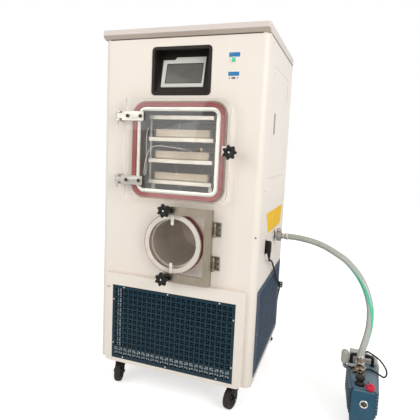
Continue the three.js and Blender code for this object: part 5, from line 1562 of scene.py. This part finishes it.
build("pump_inlet_screws", joined(*[moved(screw_head(3.0, 2.2, 16, 5),
    at) for at in inlet_base_screws]), chrome, "machine", sharp=30)

# %% [markdown]
# ## Handle, filter and motor cover
# The handle is a bent bar with a moulded sleeve: one tube along a line whose corners are eased,
# and a shorter, thicker one over it. The motor's fan cover is a set of rings over a dark
# opening, and its cooling ribs are thin plates along its sides.

# %% Handle
handle_line = eased([(804.5, 290, 209.5), (804.5, 290, 252), (897.5, 290, 252), (897.5, 290,
    209.5)], 9, 6)
build("pump_handle_bar", tube(handle_line, 7.2, 20, (0, 1, 0)), black_plastic, "machine",
    ["pump_handle"], sharp=50)
grip_x = np.linspace(818, 884, 45)
grip_line = np.stack([grip_x, 290 + 0 * grip_x, 252.6 + 0 * grip_x], axis=-1)
along_grip = (grip_x - 851) / 33
grip_radius = 8.6 * (1 - along_grip**12) ** 0.5 + 0.3 * np.cos(grip_x * 1.4)
build("pump_handle_grip", tube(grip_line, np.maximum(grip_radius, 7.3), 24, (0, 1, 0)),
    black_rubber, "machine", sharp=50)
handle_feet = [plate(x - 9, x + 9, 280, 300, 209.3, 213, "z", 3, 1) for x in (804.5, 897.5)]
build("pump_handle_feet", joined(*handle_feet), black_plastic, "machine",
    sharp=50)

# %% Exhaust filter
canister_line = eased([(0, 202), (13, 202), (15.5, 206), (17.4, 209), (17.5, 246),
    (16.6, 247), (17.5, 248), (17.3, 255), (13, 263.5), (6, 266.6), (0, 267)], 1.6, 3)
build("exhaust_filter_canister", turned(canister_line, "z", (776, 291, 0), 48),
    filter_plastic, "machine", ["pump_exhaust_filter"])
elbow = eased([(776, 291, 204), (776, 291, 184), (794, 291, 184)], 9, 8)
build("exhaust_filter_elbow", joined(tube(elbow, 8.6, 24, (0, 1, 0)),
    turned([(0, 787), (11, 787), (11.6, 788), (11.6, 793.6), (0, 793.6)], "x", (0, 291, 184),
    6)), cast_aluminium, "machine", sharp=40)

# %% Motor cover and ribs
MOTOR_X, MOTOR_Z = 862.0, 159.0
rings = [turned(eased([(r, 439.6), (r, 441.6), (r + 3.4, 441.6), (r + 3.4, 439.6)], 0.8, 2,
    True), "y", (MOTOR_X, 0, MOTOR_Z), 64, loop=True) for r in (8, 16, 24, 32, 40)]
spokes = []
for turn_by in np.radians([0, 60, 120, 180, 240, 300]):
    points, faces = plate(8, 44, -1.6, 1.6, 439.8, 441.2, "y", 1, 0.4, 3)
    x, y, z = points.T
    spun = np.stack([MOTOR_X + x * math.cos(turn_by) - z * math.sin(turn_by), y,
        MOTOR_Z + x * math.sin(turn_by) + z * math.cos(turn_by)], axis=-1)
    spokes.append((spun, faces))
build("motor_fan_guard", joined(*rings, *spokes), motor_paint, "machine")
build("motor_fan_opening", turned([(0, 440.1), (43.6, 440.1), (43.6, 439.4), (0, 439.4)],
    "y", (MOTOR_X, 0, MOTOR_Z), 64), black_plastic, "machine")
ribs = [plate(y0, 368, z - 1.4, z + 1.4, x0, x1, "x", 1.0, 0.5, 3) for z in range(122, 200,
    10) for y0, x0, x1 in ((316, 926.5, 931), (316, 793, 797.5))]
build("motor_ribs", joined(*ribs), motor_paint, "machine")
lid = plate(797.6, 839.4, 322.6, 369.4, 241.8, 245, "z", 4, 1.2, 5)
lid_screws = [moved(screw_head(2.4, 1.0, 16, 5), (x, y, 245)) for x in (803,
    834) for y in (328, 364)]
build("terminal_box_lid", lid, motor_paint, "machine")
build("terminal_box_screws", joined(*lid_screws), zinc, "machine", sharp=30)
print("pump finished")

# %% [markdown]
# ## Light, floor and background
# The world is white wherever the camera, a mirror or a pane of glass looks at it, and a softer
# white where it only lights things. A broad lamp to the front right makes the right side the
# brighter one and draws a soft shadow. The floor gives back what falls on it and glows a little
# for the camera, so that it ends up as white as the background while its shadow stays.

# %% World
scene = bpy.context.scene
scene.view_settings.view_transform = "Standard"
world = bpy.data.worlds.new("studio")
scene.world = world
world.use_nodes = True
tree = world.node_tree
ray = add_node(tree, "ShaderNodeLightPath").outputs
seen = sum_of(tree, "MAXIMUM", ray["Is Camera Ray"], sum_of(tree, "MAXIMUM",
    ray["Is Glossy Ray"], ray["Is Transmission Ray"]))
WORLD_LIGHT = 0.54
tree.nodes["Background"].inputs["Color"].default_value = (1, 1, 1, 1)
tree.links.new(spread(tree, seen, 0.0, 1.0, WORLD_LIGHT, 1.0),
    tree.nodes["Background"].inputs["Strength"])


# %% Lamps
def lamp(name, place, aim, size, power):
    """A square lamp at a place in drawing millimetres, turned to face another point."""
    light = bpy.data.lights.new(name, "AREA")
    light.size, light.energy = size, power
    piece = bpy.data.objects.new(name, light)
    scene.collection.objects.link(piece)
    start, end = placed(place), placed(aim)
    back = (start - end) / np.linalg.norm(start - end)
    across_it = np.cross([0, 0, 1], back)
    across_it /= np.linalg.norm(across_it)
    turn = np.eye(4)
    turn[:3, 0], turn[:3, 1], turn[:3, 2] = across_it, np.cross(back, across_it), back
    turn[:3, 3] = start
    piece.matrix_world = Matrix(turn.tolist())
    return piece


lamp("key", (3600, -1900, 2700), (200, 250, 800), 2.6, 89)
lamp("fill", (-2400, -3400, 2600), (0, 250, 900), 3.0, 61)

# %% Floor
floor_paint, tree, shader = start_material("pale_floor")
speckle = noise(tree, object_place(tree), 60.0, 4.0, 0.6)
pale = blended(tree, spread(tree, speckle, 0.3, 0.7), linear(244, 243, 241), linear(248, 247,
    246))
tree.links.new(pale, shader.inputs["Base Color"])
shader.inputs["Roughness"].default_value = 0.6
camera_ray = add_node(tree, "ShaderNodeLightPath").outputs["Is Camera Ray"]
tree.links.new(blended(tree, camera_ray, (0, 0, 0, 1), (1, 1, 1, 1)),
    shader.inputs["Emission Color"])
shader.inputs["Emission Strength"].default_value = 0.55
FLOOR_REACH = 9000.0
corners = [(-1, -1), (1, -1), (1, 1), (-1, 1)]
floor_mesh = bpy.data.meshes.new("floor")
floor_mesh.from_pydata(placed([(FLOOR_REACH * x, FLOOR_REACH * y, 0) for x,
    y in corners]).tolist(), [], [(0, 1, 2, 3)])
floor_mesh.materials.append(floor_paint)
floor = bpy.data.objects.new("floor", floor_mesh)
scene.collection.objects.link(floor)
floor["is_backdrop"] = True

# %% [markdown]
# The finished model's box is measured over every shown piece, leaving out the floor.

# %% Measure the finished model's box
low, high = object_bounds()
